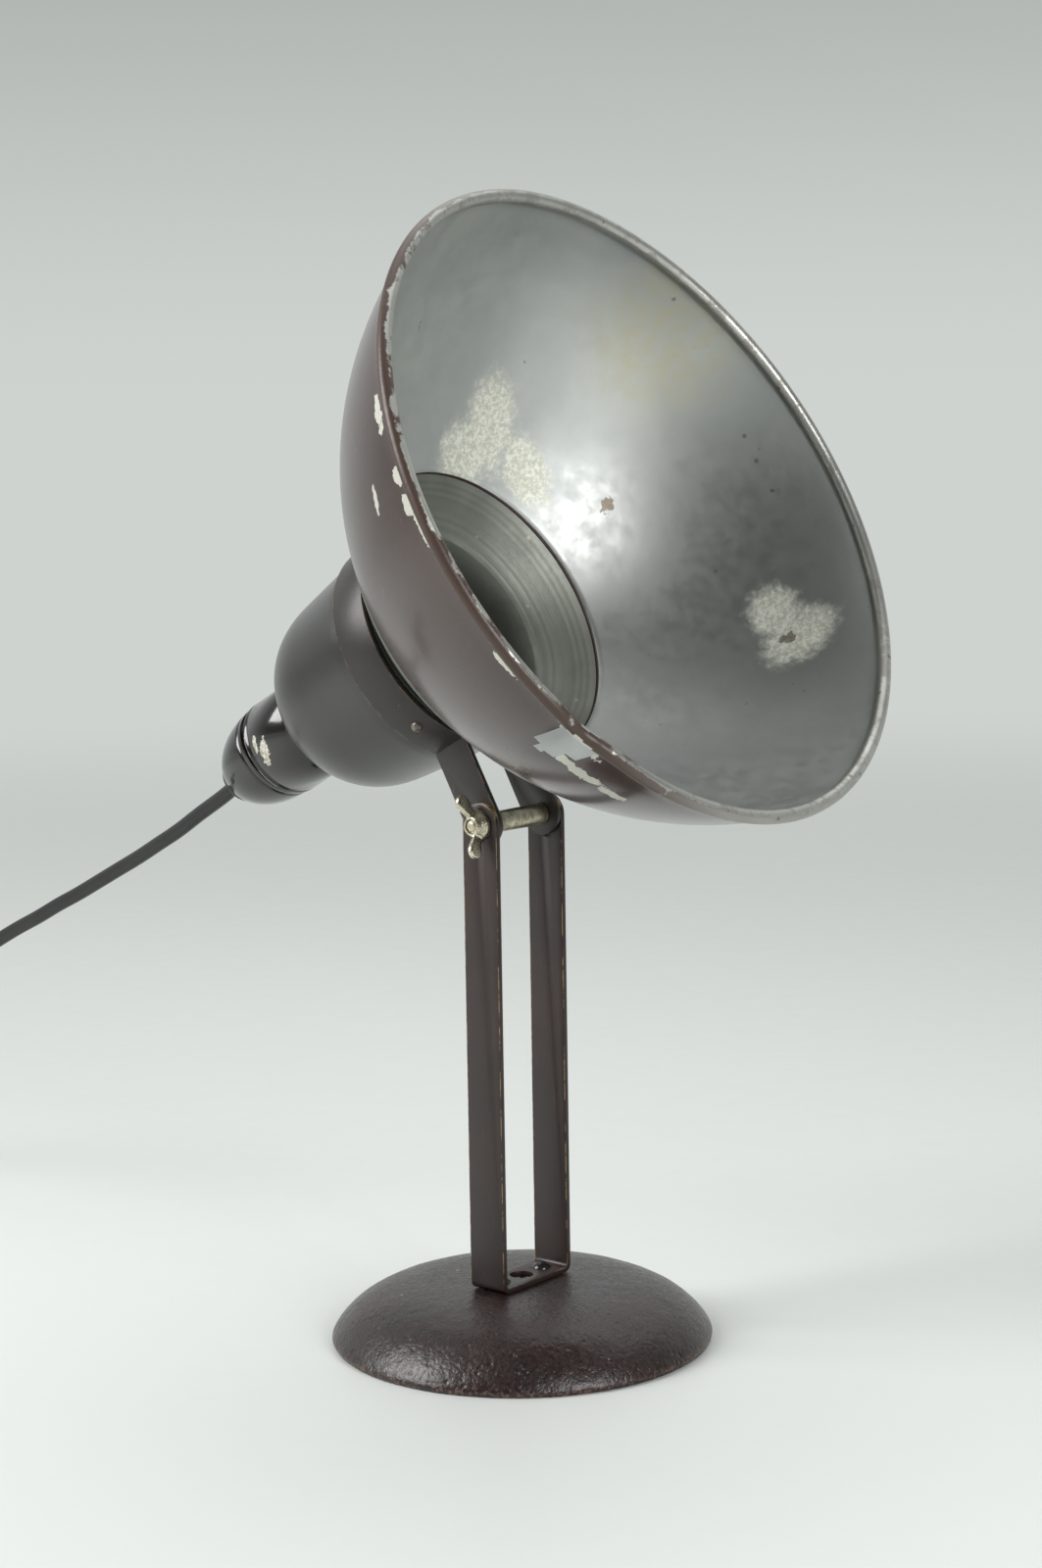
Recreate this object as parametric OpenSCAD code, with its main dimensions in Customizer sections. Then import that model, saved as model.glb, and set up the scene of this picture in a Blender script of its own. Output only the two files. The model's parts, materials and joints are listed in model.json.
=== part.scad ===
// Adjustable table heat lamp: cast foot, flat-strip stand, tilting head with a spun reflector.
// Origin: centre of the foot on the table. +Z up, the head leans towards +X, the pivot bolt lies along Y.

/* [Foot] */
// Diameter of the cast foot
foot_d = 144; // [120:1:180]
// Height of the foot at its centre
foot_h = 21.5; // [18:0.5:28]
// Height of the foot's rounded edge, where it is widest
foot_edge_h = 2; // [1:0.5:4]
// How square the dome is seen from the side
foot_square = 4.6; // [3:0.1:6]
// Diameter of the recess under the foot
recess_d = 124; // [90:1:126]
// Thickness of the casting under the stand
foot_wall = 8; // [6:0.5:10]
// Diameter of the hole through the web and the foot
centre_hole_d = 9; // [6:0.5:9.5]
// Diameter of the boss around that hole, under the foot
centre_boss_d = 13; // [12:0.5:13.5]

/* [Stand] */
// Width of the steel strip that the stand and the yoke are bent from
strip_w = 16; // [14:0.5:20]
// Thickness of the strip
strip_t = 2; // [1.5:0.1:2.5]
// Distance over the two uprights
stand_w = 40; // [38:1:50]
// Height of the pivot bolt above the table
pivot_h = 197.5; // [170:0.5:230]
// Inside radius of the strip's bends
bend_r = 1.5; // [1:0.5:3]
// Distance of each stand screw from the centre
screw_y = 12; // [11:0.5:13]

/* [Pivot] */
// Diameter of the pivot bolt
bolt_d = 5; // [4:0.5:6]
// Outside diameter of the spacer tube
spacer_d = 8; // [7.5:0.5:10]
// Span of the wing nut over its wings
wing_span = 24; // [20:1:28]
// Turn of the wing nut at rest, from upright
wing_turn = 18; // [0:1:60]

/* [Head] */
// Elevation of the head's axis above level
head_tilt = 28.5; // [10:0.5:45]
// Distance from the pivot to the head's axis
axis_offset = 73.2; // [70:0.2:76]
// Distance between the outer faces of the yoke's legs
yoke_w = 35.8; // [35:0.1:35.9]
// Inside radius of the yoke's ring
yoke_r = 43; // [42:0.5:46]

/* [Bell] */
// Length of the bell's round back
bell_back_len = 33.8; // [32:0.2:36]
// Thickness of the bell
bell_t = 1.2; // [0.8:0.1:1.5]
// Front edge of the bell along the head's axis
bell_front = 8.8; // [8.5:0.1:9]
// Thickness of the flared collar
collar_t = 1.1; // [0.8:0.1:1.4]

/* [Reflector] */
// Diameter over the rolled rim
reflector_d = 250; // [230:1:270]
// Diameter of the hole in the reflector
reflector_hole_d = 115.2; // [110:0.2:118]
// Thickness of the spun aluminium
reflector_t = 1.2; // [0.8:0.1:1.5]
// Radius of the bowl's curve, outside
bowl_r = 140.7; // [138:0.1:143]
// Diameter of the rolled rim
bead_d = 5; // [4:0.5:6]

/* [Lampholder] */
// Diameter of the socket cover
cover_d = 40; // [38:0.5:42]
// Length of the socket cover
cover_len = 25.5; // [24:0.5:28]
// Length of the moulded end cap
cap_len = 24; // [22:0.1:26]
// How far the end cap droops from the head's axis
cap_droop = 4.5; // [0:0.5:5]
// Length of the cord bushing
bushing_len = 3.7; // [3:0.1:5]
// Inside diameter of the screw shell, for an E27 lamp
shell_d = 26.6; // [26.5:0.1:27]

/* [Cord] */
// Width of the flat cord
cord_d = 6; // [5.5:0.5:7]
// Sides of the cord's tube
cord_sides = 10; // [8:1:12]

/* [Hidden] */
$fn = 96;
small_fn = 48;
eps = 0.01;

// foot
foot_r = foot_d / 2;
foot_sole_r = foot_r - 0.8;
dome_power = 1.25;
dome_steps = 22;
recess_r = recess_d / 2;
recess_h = foot_h - foot_wall;
recess_power = 2.4;

// stand
stand_top = foot_h + strip_t;
stand_y = stand_w / 2;
bend_out = bend_r + strip_t;
end_r = strip_w / 2;
upright_h = pivot_h - foot_h;
stand_screw_r = 2;
stand_head_r = 3.6;
stand_head_h = 2.2;
nut_h = 3.2;
washer_t = 0.8;
washer_r = 5.5;

// pivot
bolt_r = bolt_d / 2;
run_gap = 0.08;
pivot_hole_r = bolt_r + run_gap;
bolt_end_y = -stand_y - 5;
bolt_head_af = 8;
bolt_head_h = 3.5;
hex_scale = 2 / sqrt(3);
wing_base_r = 5.5;
wing_boss_r = 3.6;
wing_boss_h = 4.2;
wing_t = 2.2;
wing_tip_r = 3;

// yoke
leg_y = yoke_w / 2;
ring_out = yoke_r + strip_t;
ring_cut = asin(leg_y / ring_out);
leg_inner_y = leg_y - strip_t;
bend_x = sqrt(pow(yoke_r, 2) - pow(leg_inner_y, 2));
leg_start = bend_x + strip_t;
ring_steps = 96;
ring_turn = (360 - 2 * ring_cut) / ring_steps;
yoke_screw_turn = 44;
yoke_screw_r = 1.5;
yoke_head_r = 2.3;
yoke_head_h = 1.6;
yoke_nut_af = 5.5;
slot_w = 0.8;
slot_depth = 0.7;

// bell: stations along the head's axis, measured from the foot of the pivot's perpendicular
seat = -68.5;
bell_mid = -37;
bell_wide = -12;
bell_taper = 0.12;
bell_power = 2.6;
band_clear = 0.05;
bell_r = yoke_r - band_clear;
body_r = 16.2;
bell_hole_r = body_r + 0.3;
bell_steps = 24;
arc_steps = 18;

// collar
collar_back = -8;
collar_r = bell_r - bell_t - band_clear;
flare_start = 9.6;
flange_gap = 0.05;
flange_end_r = 66;

// reflector: the bowl is an arc about a point beyond the axis
bowl_z = 146;
bowl_x = -14;
hole_r = reflector_hole_d / 2;
bead_r = bead_d / 2;
bead_x = reflector_d / 2 - bead_r;
bead_z = 113.4;

// lampholder
cover_r = cover_d / 2;
cover_t = 1;
cap_front = seat - cover_len;
cap_back = cap_front - cap_len;
cap_curve = 29;
cap_r = cover_r - 0.5;
cap_t = 2.2;
cap_set_back = cap_r * sin(cap_droop);
spigot_r = cover_r - cover_t - 0.5;
spigot_len = 4;
bushing_r = 9.2;
bushing_back = cap_back - bushing_len;
cord_hole_r = cord_d / 2 + 0.1;
mouth = -45;
block_back = -88;
shell_back = mouth - 28;
shell_t = 0.5;
ring_r = 17.7;
ring_len = 4;
terminal_x = 9;
inner_end = -101;

// cord
coil_x = -520;
coil_y = -40;
coil_in = 18.5;
coil_out = 46.5;
tie_t = 1.2;
tie_w = 10;
coil_h = 2 * cord_d;
lay_z = tie_t + cord_d / 2;
cord_gap = 0.2;
lean = [cos(head_tilt), 0, sin(head_tilt)];
rise = [-sin(head_tilt), 0, cos(head_tilt)];
cap_dir = [cos(head_tilt + cap_droop), 0, sin(head_tilt + cap_droop)];
cap_point = [0, 0, pivot_h] + axis_offset * rise + (cap_front - cap_set_back) * lean;
exit_point = cap_point - (cap_front - bushing_back + cord_gap) * cap_dir;
cord_route = concat([exit_point, exit_point - 12 * cap_dir],
  [[-165, 0, 187], [-178, 0, 179], [-190, 0, 172.5], [-202, 0, 166], [-214, 0, 160],
  [-227, 0, 153.5], [-240, 0, 147], [-253, 0, 141], [-266, 0, 134.5], [-279, 0, 128.5],
  [-292, 0, 122], [-305, 0, 115], [-318, 0, 108], [-331, 0, 101], [-344, 0, 94],
  [-357, 0, 86.5], [-370, 0, 79], [-383, 0, 70.5], [-395, 0, 62], [-407, 0, 53],
  [-419, 0, 44], [-431, 0, 34.5], [-443, 0, 25.5], [-455, 0, 17.5], [-468, 0, 11],
  [-482, 0, 6.5], [-497, 0, 4.5], [-508, 0, 4.2], [-520, 0, 4.2]]);
tail_x = -563;
tail_route = [[tail_x, -40, 10.2], [tail_x, -50, 10.2], [tail_x, -58, 9.8],
  [tail_x, -66, 8.9], [tail_x, -74, 7.9], [tail_x, -82, 7.2], [tail_x, -88, 7]];

// plug
plug_y = -88;
plug_z = 7;
plug_relief = 20;
plug_len = 35;
plug_w = 35;
plug_t = 13.6;
pin_r = 2;
pin_shank_r = 1.7;
pin_root = 11;
pin_len = 19;
pin_y = 9.3;

// Places its children in the head's own frame: +Z towards the mouth, +X down towards the pivot
module in_head() {
  translate([0, 0, pivot_h])
    rotate([0, 90 - head_tilt, 0])
      translate([-axis_offset, 0, 0])
        children();
}

// Places its children in the head's frame as the end cap hangs in it
module in_cap() {
  in_head()
    translate([0, 0, cap_front - cap_set_back])
      rotate([0, -cap_droop, 0])
        translate([0, 0, -cap_front])
          children();
}

// A round bar along Y between two places on the pivot's axis
module along_pivot(from_y, to_y, r1, r2 = 0) {
  translate([0, from_y, pivot_h])
    rotate([from_y > to_y ? 90 : -90, 0, 0])
      cylinder(h = abs(to_y - from_y), r1 = r1, r2 = r2 > 0 ? r2 : r1, $fn = small_fn);
}

module hex(af, h) {
  cylinder(h = h, d = af * hex_scale, $fn = 6);
}

// A low dome of radius r and height h standing on the plane z = 0
module dome_head(r, h) {
  ball_r = (r * r + h * h) / (2 * h);
  edge_a = asin(r / ball_r);
  steps = 8;
  rotate_extrude($fn = small_fn)
    polygon(concat([[0, 0]],
      [for (i = [steps:-1:0]) let (a = edge_a * i / steps)
        [ball_r * sin(a), ball_r * (cos(a) - 1) + h]]));
}

function arc(cx, cz, r, from_a, to_a, steps) =
  [for (i = [0:steps]) let (a = from_a + (to_a - from_a) * i / steps)
    [cx + r * cos(a), cz + r * sin(a)]];

// ---------- foot and stand ----------

function dome_point(t) =
  [foot_r * pow(sin(90 * t), 2 / foot_square),
   foot_edge_h + (foot_h - foot_edge_h) * pow(cos(90 * t), 2 / dome_power)];
function recess_point(t) =
  [recess_r * pow(sin(90 * t), 2 / recess_power),
   recess_h * pow(cos(90 * t), 2 / recess_power)];

module base_foot() {
  pad_r = 14;
  color("#3a2222")
    difference() {
      union() {
        rotate_extrude()
          polygon(concat([[0, 0], [0, foot_h]],
            [for (i = [1:dome_steps]) dome_point(i / dome_steps)],
            [[foot_sole_r, 0]]));
        cylinder(h = foot_h, r = pad_r);
      }
      difference() {
        rotate_extrude()
          polygon(concat([[0, -1], [0, recess_h]],
            [for (i = [1:dome_steps]) recess_point(i / dome_steps)],
            [[recess_r, -1]]));
        cylinder(h = foot_h, d = centre_boss_d);
      }
      translate([0, 0, -2])
        cylinder(h = foot_h + 4, d = centre_hole_d);
      for (s = [-1, 1])
        translate([0, s * screw_y, 0])
          cylinder(h = foot_h + 1, r = stand_screw_r + run_gap, $fn = small_fn);
    }
}

// Half of the U's outline, on the +Y side, grown inwards by the strip's thickness
module bent_half() {
  square([stand_y - bend_out, strip_t]);
  translate([stand_y - bend_out, bend_out])
    intersection() {
      difference() {
        circle(r = bend_out);
        circle(r = bend_r);
      }
      translate([0, -bend_out])
        square(bend_out);
    }
  translate([stand_y - strip_t, bend_out])
    square([strip_t, upright_h - bend_out]);
}

module stand_strap() {
  color("#3c2323")
    difference() {
      union() {
        translate([0, 0, foot_h])
          rotate([90, 0, 90])
            translate([0, 0, -strip_w / 2])
              linear_extrude(strip_w)
                for (s = [0, 1])
                  mirror([s, 0])
                    bent_half();
        for (s = [-1, 1])
          along_pivot(s * stand_y, s * (stand_y - strip_t), end_r);
      }
      along_pivot(stand_y + 1, -stand_y - 1, pivot_hole_r);
      translate([0, 0, foot_h - 1])
        cylinder(h = strip_t + 2, d = centre_hole_d);
      for (s = [-1, 1])
        translate([0, s * screw_y, foot_h - 1])
          cylinder(h = strip_t + 2, r = stand_screw_r + run_gap, $fn = small_fn);
    }
}

module stand_screws() {
  screw_len = strip_t + foot_wall + washer_t + nut_h + 1;
  color("#1c1818")
    for (s = [-1, 1])
      translate([0, s * screw_y, stand_top]) {
        dome_head(stand_head_r, stand_head_h);
        translate([0, 0, -screw_len])
          cylinder(h = screw_len + eps, r = stand_screw_r, $fn = small_fn);
      }
}

module stand_washers() {
  color("#8c8a80")
    for (s = [-1, 1])
      translate([0, s * screw_y, recess_floor() - washer_t])
        difference() {
          cylinder(h = washer_t, r = washer_r - 0.5, $fn = small_fn);
          translate([0, 0, -1])
            cylinder(h = washer_t + 2, r = stand_screw_r + run_gap, $fn = small_fn);
        }
}

// Height of the recess's ceiling over the outer edge of a washer
function recess_floor() =
  let (far = (screw_y + washer_r) / recess_r)
  recess_h * pow(1 - pow(far, recess_power), 1 / recess_power);

module stand_nuts() {
  color("#8c8a80")
    for (s = [-1, 1])
      translate([0, s * screw_y, recess_floor() - washer_t - nut_h])
        difference() {
          hex(7, nut_h);
          translate([0, 0, -1])
            cylinder(h = nut_h + 2, r = stand_screw_r + run_gap, $fn = small_fn);
        }
}

// ---------- pivot ----------

module pivot_bolt() {
  head_y = stand_y + washer_t;
  chamfer = 0.6;
  color("#a79b73") {
    along_pivot(head_y + eps, bolt_end_y + chamfer, bolt_r);
    along_pivot(bolt_end_y + chamfer, bolt_end_y, bolt_r, bolt_r - chamfer);
    translate([0, head_y, pivot_h])
      rotate([-90, 0, 0])
        hex(bolt_head_af, bolt_head_h);
  }
}

module pivot_washer(from_y, to_y) {
  color("#9a9178")
    difference() {
      along_pivot(from_y, to_y, washer_r);
      along_pivot(from_y - sign(to_y - from_y), to_y + sign(to_y - from_y), pivot_hole_r);
    }
}

module bolt_washer() {
  pivot_washer(stand_y, stand_y + washer_t);
}

module clamp_washer() {
  pivot_washer(-stand_y, -stand_y - washer_t);
}

// One wing seen from the side: first coordinate out from the bolt, second away from the upright
module wing_outline() {
  tip_s = wing_span / 2 - wing_tip_r;
  tip_t = 5.4;
  polygon([[0, 0.6], [wing_base_r - 0.6, 0.6], [tip_s + 1.2, tip_t - 2.6],
    [tip_s - 1.9, tip_t + 2.2], [wing_boss_r - 0.4, wing_boss_h - 0.2], [0, wing_boss_h - 0.2]]);
  translate([tip_s, tip_t])
    circle(r = wing_tip_r, $fn = small_fn);
}

module wing_nut() {
  face_y = -stand_y - washer_t;
  color("#b8aa78")
    difference() {
      union() {
        along_pivot(face_y, face_y - wing_boss_h, wing_base_r, wing_boss_r);
        translate([0, face_y, pivot_h])
          rotate([90, 0, 0])
            rotate([0, 0, 90 + wing_turn])
              for (s = [0, 180])
                rotate([0, 0, s])
                  rotate([90, 0, 0])
                    translate([0, 0, -wing_t / 2])
                      linear_extrude(wing_t)
                        wing_outline();
      }
      along_pivot(face_y + 1, face_y - 2 * wing_boss_h, pivot_hole_r);
    }
}

module spacer_tube() {
  half = leg_y - strip_t;
  color("#b0aa8e")
    difference() {
      along_pivot(half, -half, spacer_d / 2);
      along_pivot(half + 1, -half - 1, pivot_hole_r);
    }
}

// ---------- head ----------

module leg_bore(r) {
  translate([axis_offset, leg_y + 1, 0])
    rotate([90, 0, 0])
      cylinder(h = yoke_w + 2, r = r, $fn = small_fn);
}

// Places its children at each yoke screw, +Z pointing out from the bell
module at_yoke_screws(r) {
  for (s = [-1, 1])
    rotate([0, 0, s * yoke_screw_turn])
      translate([r, 0, 0])
        rotate([0, 90, 0])
          children();
}

module yoke_screw_holes() {
  at_yoke_screws(yoke_r - 8)
    cylinder(h = 14, r = yoke_screw_r + run_gap, $fn = small_fn);
}

// A point along the soft corner from p0 to p2 that leans towards p1
function corner_point(p0, p1, p2, t) =
  (1 - t) * (1 - t) * p0 + 2 * t * (1 - t) * p1 + t * t * p2;

// The ring and both bends down to the legs, seen along the head's axis
module ring_outline() {
  steps = 6;
  bend = [bend_x, leg_inner_y];
  ring_in = yoke_r * [cos(ring_cut), sin(ring_cut)];
  bend_in = [for (i = [0:steps]) corner_point(ring_in, bend, [leg_start, leg_inner_y], i / steps)];
  polygon(concat([[axis_offset, leg_y]],
    arc(0, 0, ring_out, ring_cut, 360 - ring_cut, ring_steps),
    [[axis_offset, -leg_y], [axis_offset, -leg_inner_y]],
    [for (i = [steps:-1:0]) [bend_in[i].x, -bend_in[i].y]],
    arc(0, 0, yoke_r, 360 - ring_cut - ring_turn, ring_cut + ring_turn, ring_steps - 2),
    bend_in,
    [[axis_offset, leg_inner_y]]));
}

module yoke_strap() {
  color("#40282a")
    in_head()
      difference() {
        union() {
          translate([0, 0, -strip_w / 2])
            linear_extrude(strip_w)
              ring_outline();
          for (s = [-1, 1])
            translate([axis_offset, s * (leg_y - strip_t / 2), 0])
              rotate([90, 0, 0])
                cylinder(h = strip_t, r = end_r, center = true);
        }
        leg_bore(pivot_hole_r);
        yoke_screw_holes();
      }
}

module yoke_screws() {
  shank = ring_out - collar_r + collar_t + 3.4;
  color("#4a3a34")
    in_head()
      at_yoke_screws(ring_out)
        difference() {
          union() {
            dome_head(yoke_head_r, yoke_head_h);
            translate([0, 0, -shank])
              cylinder(h = shank + eps, r = yoke_screw_r, $fn = small_fn);
          }
          translate([-yoke_head_r, -slot_w / 2, yoke_head_h - slot_depth])
            cube([2 * yoke_head_r, slot_w, 1]);
        }
}

module yoke_nuts() {
  seat_r = collar_r - collar_t - 0.3;
  thick = 2.4;
  color("#8c8a80")
    in_head()
      at_yoke_screws(seat_r - thick)
        difference() {
          hex(yoke_nut_af, thick);
          translate([0, 0, -1])
            cylinder(h = thick + 2, r = yoke_screw_r + run_gap, $fn = small_fn);
        }
}

// Outside radius of the bell at a station behind its cylinder, less the wall for the inside
function bell_radius(z, wall) =
  let (t = max(0, (bell_mid - z) / (bell_back_len - wall)))
  (bell_r - wall - bell_taper * (bell_wide - z)) * pow(1 - pow(t, bell_power), 1 / bell_power);

module bell_housing() {
  in_seat = seat + bell_t;
  color("#3b302d")
    in_head()
      difference() {
        rotate_extrude()
          polygon(concat([[bell_hole_r, seat]],
            [for (i = [0:bell_steps]) let (z = seat + (bell_wide - seat) * pow(i / bell_steps, 1.5))
              [bell_radius(z, 0), z]],
            [[bell_r, bell_front], [bell_r - bell_t, bell_front]],
            [for (i = [bell_steps:-1:0]) let (z = in_seat + (bell_wide - in_seat) * pow(i / bell_steps, 1.5))
              [bell_radius(z, bell_t), z]],
            [[bell_hole_r, in_seat]]));
        yoke_screw_holes();
      }
}

// Angle on the bowl's arc at which the wall lies r from the axis
function bowl_angle(r, wall_r) = -acos((r - bowl_x) / wall_r);

module neck_collar() {
  back_r = bowl_r + flange_gap;
  flange_r = back_r + collar_t;
  from_a = bowl_angle(hole_r, back_r);
  to_a = bowl_angle(flange_end_r, back_r);
  color("#6c6a66")
    in_head()
      difference() {
        rotate_extrude()
          polygon(concat([[collar_r - collar_t, collar_back], [collar_r, collar_back],
              [collar_r, flare_start]],
            arc(bowl_x, bowl_z, flange_r, bowl_angle(hole_r + 1.2, flange_r),
              bowl_angle(flange_end_r, flange_r), 4),
            arc(bowl_x, bowl_z, back_r, to_a, from_a, 4),
            [[collar_r - collar_t, flare_start - 0.6]]));
        yoke_screw_holes();
      }
}

module reflector() {
  in_r = bowl_r - reflector_t;
  hole_a = bowl_angle(hole_r, bowl_r);
  hole_in = bowl_angle(hole_r, in_r);
  rim_a = asin((bead_z - 1 - bowl_z) / bowl_r);
  rim_in = asin((bead_z - 1 - bowl_z) / in_r);
  color("#56393a")
    in_head() {
      rotate_extrude()
        polygon(concat(arc(bowl_x, bowl_z, bowl_r, hole_a, rim_a, 2 * arc_steps),
          arc(bowl_x, bowl_z, in_r, rim_in, hole_in, 2 * arc_steps)));
      rotate_extrude()
        translate([bead_x, bead_z])
          circle(r = bead_r, $fn = small_fn);
    }
}

// ---------- lampholder ----------

module tube(from_z, to_z, r_out, r_in) {
  translate([0, 0, from_z])
    difference() {
      cylinder(h = to_z - from_z, r = r_out);
      translate([0, 0, -1])
        cylinder(h = to_z - from_z + 2, r = r_in);
    }
}

module retaining_ring() {
  color("#8c8a80")
    in_head()
      tube(seat + bell_t, seat + bell_t + ring_len, ring_r, bell_hole_r);
}

module socket_cover() {
  color("#231c1b")
    in_head() {
      tube(cap_front, seat, cover_r, cover_r - cover_t);
      tube(seat - cover_t, seat, cover_r - cover_t + eps, bell_hole_r);
    }
}

function cap_radius(z, r, long) = r * sqrt(max(0, 1 - pow((cap_front - z) / long, 2)));

module socket_cap() {
  steps = 16;
  in_end = cap_back + cap_t;
  color("#141212")
    in_cap()
      rotate_extrude()
        polygon(concat([[cord_hole_r + 2.5, cap_back]],
          [for (i = [0:steps]) let (z = cap_back + cap_len * i / steps)
            [cap_radius(z, cap_r, cap_curve), z]],
          [[spigot_r, cap_front], [spigot_r, cap_front + spigot_len],
           [spigot_r - cap_t, cap_front + spigot_len]],
          [for (i = [0:steps]) let (z = cap_front - (cap_front - in_end) * i / steps)
            [cap_radius(z, spigot_r - cap_t, cap_curve - cap_t), z]],
          [[cord_hole_r + 2.5, in_end]]));
}

module cord_bushing() {
  edge = 1.2;
  color("#0f0e0e")
    in_cap()
      rotate_extrude()
        polygon([[cord_hole_r, bushing_back], [bushing_r - edge, bushing_back],
          [bushing_r, bushing_back + edge], [bushing_r, cap_back],
          [cord_hole_r + 2.4, cap_back], [cord_hole_r + 2.4, cap_back + cap_t + 1],
          [cord_hole_r, cap_back + cap_t + 1]]);
}

module cord_grip() {
  bar = [12, 5, 3];
  grip_z = inner_end - 5;
  color("#9a9178")
    in_cap()
      for (s = [-1, 1])
        translate([s * (cord_d / 2 + bar.z / 2), 0, grip_z])
          cube([bar.z, bar.x, bar.y], center = true);
}

module lampholder_body() {
  bore_r = shell_d / 2 + shell_t + 0.1;
  pocket = 3;
  color("#e8e4da")
    in_head()
      difference() {
        tube(block_back, mouth, body_r, 0.8);
        translate([0, 0, shell_back - pocket])
          cylinder(h = 60, r = bore_r);
        for (s = [-1, 1])
          translate([s * terminal_x, 0, block_back - 1])
            cylinder(h = 8, r = 1.6, $fn = small_fn);
      }
}

module screw_shell() {
  color("#c9a85a")
    in_head()
      tube(shell_back, mouth - 1, shell_d / 2 + shell_t, shell_d / 2);
}

module centre_contact() {
  thick = 0.6;
  color("#c9a85a")
    in_head() {
      translate([0, 0, shell_back - 3])
        cylinder(h = thick, r = 6, $fn = small_fn);
      translate([0, 0, shell_back - 3 + thick - eps])
        cylinder(h = 2, r = 2, $fn = small_fn);
    }
}

module shell_contact() {
  strip = [1, 4, 2];
  color("#c9a85a")
    in_head()
      translate([shell_d / 2 - 0.6, 0, shell_back - strip.z / 2 - 0.05])
        cube(strip, center = true);
}

module terminal_screws() {
  color("#c9a85a")
    in_head()
      for (s = [-1, 1])
        translate([s * terminal_x, 0, block_back]) {
          translate([0, 0, -eps])
            cylinder(h = 6, r = 1.5, $fn = small_fn);
          translate([0, 0, -2])
            cylinder(h = 2, r = 2.8, $fn = small_fn);
        }
}

module lead_wires() {
  start_z = inner_end - 0.4;
  end_z = block_back - 2.6;
  lead_x = 1.4;
  reach = terminal_x - lead_x;
  rise_z = end_z - start_z;
  for (s = [-1, 1])
    color(s > 0 ? "#5a3a22" : "#2a3f6a")
      in_head()
        translate([s * lead_x, 0, start_z])
          rotate([0, s * atan(reach / rise_z), 0])
            cylinder(h = norm([reach, rise_z]), r = 1, $fn = small_fn);
}

module cord_inner() {
  color("#161616")
    in_cap()
      translate([0, 0, bushing_back])
        cylinder(h = inner_end - bushing_back, d = cord_d, $fn = small_fn);
}

// ---------- cord ----------

function tangent(route, i) =
  let (last = len(route) - 1, step = route[min(i + 1, last)] - route[max(i - 1, 0)])
  step / norm(step);

// A tube along a route that stays in one upright plane, whose level normal is side
module cord_tube(route, r, sides, side) {
  rings = len(route);
  points = [for (i = [0:rings - 1], k = [0:sides - 1])
    let (a = 360 * k / sides)
    route[i] + r * cos(a) * side + r * sin(a) * cross(side, tangent(route, i))];
  walls = [for (i = [0:rings - 2], k = [0:sides - 1])
    let (n = (k + 1) % sides)
    [i * sides + k, i * sides + n, (i + 1) * sides + n, (i + 1) * sides + k]];
  start_cap = [[for (k = [0:sides - 1]) sides - 1 - k]];
  end_cap = [[for (k = [0:sides - 1]) (rings - 1) * sides + k]];
  polyhedron(points = points, faces = concat(walls, start_cap, end_cap), convexity = 4);
}

module cord() {
  color("#161616")
    cord_tube(cord_route, cord_d / 2, cord_sides, [0, -1, 0]);
}

module cord_tail() {
  color("#161616")
    cord_tube(tail_route, cord_d / 2, cord_sides, [1, 0, 0]);
}

module cord_coil() {
  corner = 2;
  color("#1a1a1a")
    translate([coil_x, coil_y, tie_t])
      rotate_extrude()
        polygon([[coil_in, corner], [coil_in + corner, 0], [coil_out - corner, 0],
          [coil_out, corner], [coil_out, coil_h - corner], [coil_out - corner, coil_h],
          [coil_in + corner, coil_h], [coil_in, coil_h - corner]]);
}

module cord_tie() {
  room = 1;
  inner = [coil_out - coil_in + 2 * room, tie_w + 2, coil_h];
  outer = [inner.x + 2 * tie_t, tie_w, coil_h + 2 * tie_t];
  middle = (coil_in + coil_out) / 2;
  color("#2b2b2b")
    translate([coil_x - middle, coil_y, tie_t + coil_h / 2])
      difference() {
        cube(outer, center = true);
        cube(inner, center = true);
      }
}

// Places its children at the cord's end of the plug, +X pointing along the plug to its pins
module at_plug() {
  translate([tail_x, plug_y, plug_z])
    rotate([0, 0, -90])
      children();
}

module at_pins(x) {
  for (s = [-1, 1])
    translate([x, s * pin_y, 0])
      rotate([0, 90, 0])
        children();
}

module plug_body() {
  nose = 8;
  corner = 4;
  color("#151515")
    at_plug()
      difference() {
        union() {
          rotate([0, 90, 0])
            cylinder(h = plug_relief + 1, r1 = cord_d / 2 + 0.8, r2 = plug_t / 2 - 0.6, $fn = small_fn);
          translate([plug_relief, 0, -plug_t / 2])
            linear_extrude(plug_t)
              polygon([[0, -plug_t / 2], [nose, -plug_w / 2 + corner], [nose + corner, -plug_w / 2],
                [plug_len, -plug_w / 2], [plug_len, plug_w / 2], [nose + corner, plug_w / 2],
                [nose, plug_w / 2 - corner], [0, plug_t / 2]]);
        }
        at_pins(plug_relief + plug_len - pin_root)
          cylinder(h = pin_root + 1, r = pin_shank_r + run_gap, $fn = small_fn);
      }
}

module plug_pins() {
  tip = 1;
  color("#b8b8b4")
    at_plug()
      at_pins(plug_relief + plug_len) {
        translate([0, 0, -pin_root])
          cylinder(h = pin_root + eps, r = pin_shank_r, $fn = small_fn);
        cylinder(h = pin_len - tip, r = pin_r, $fn = small_fn);
        translate([0, 0, pin_len - tip])
          cylinder(h = tip, r1 = pin_r, r2 = pin_r - tip, $fn = small_fn);
      }
}

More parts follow.
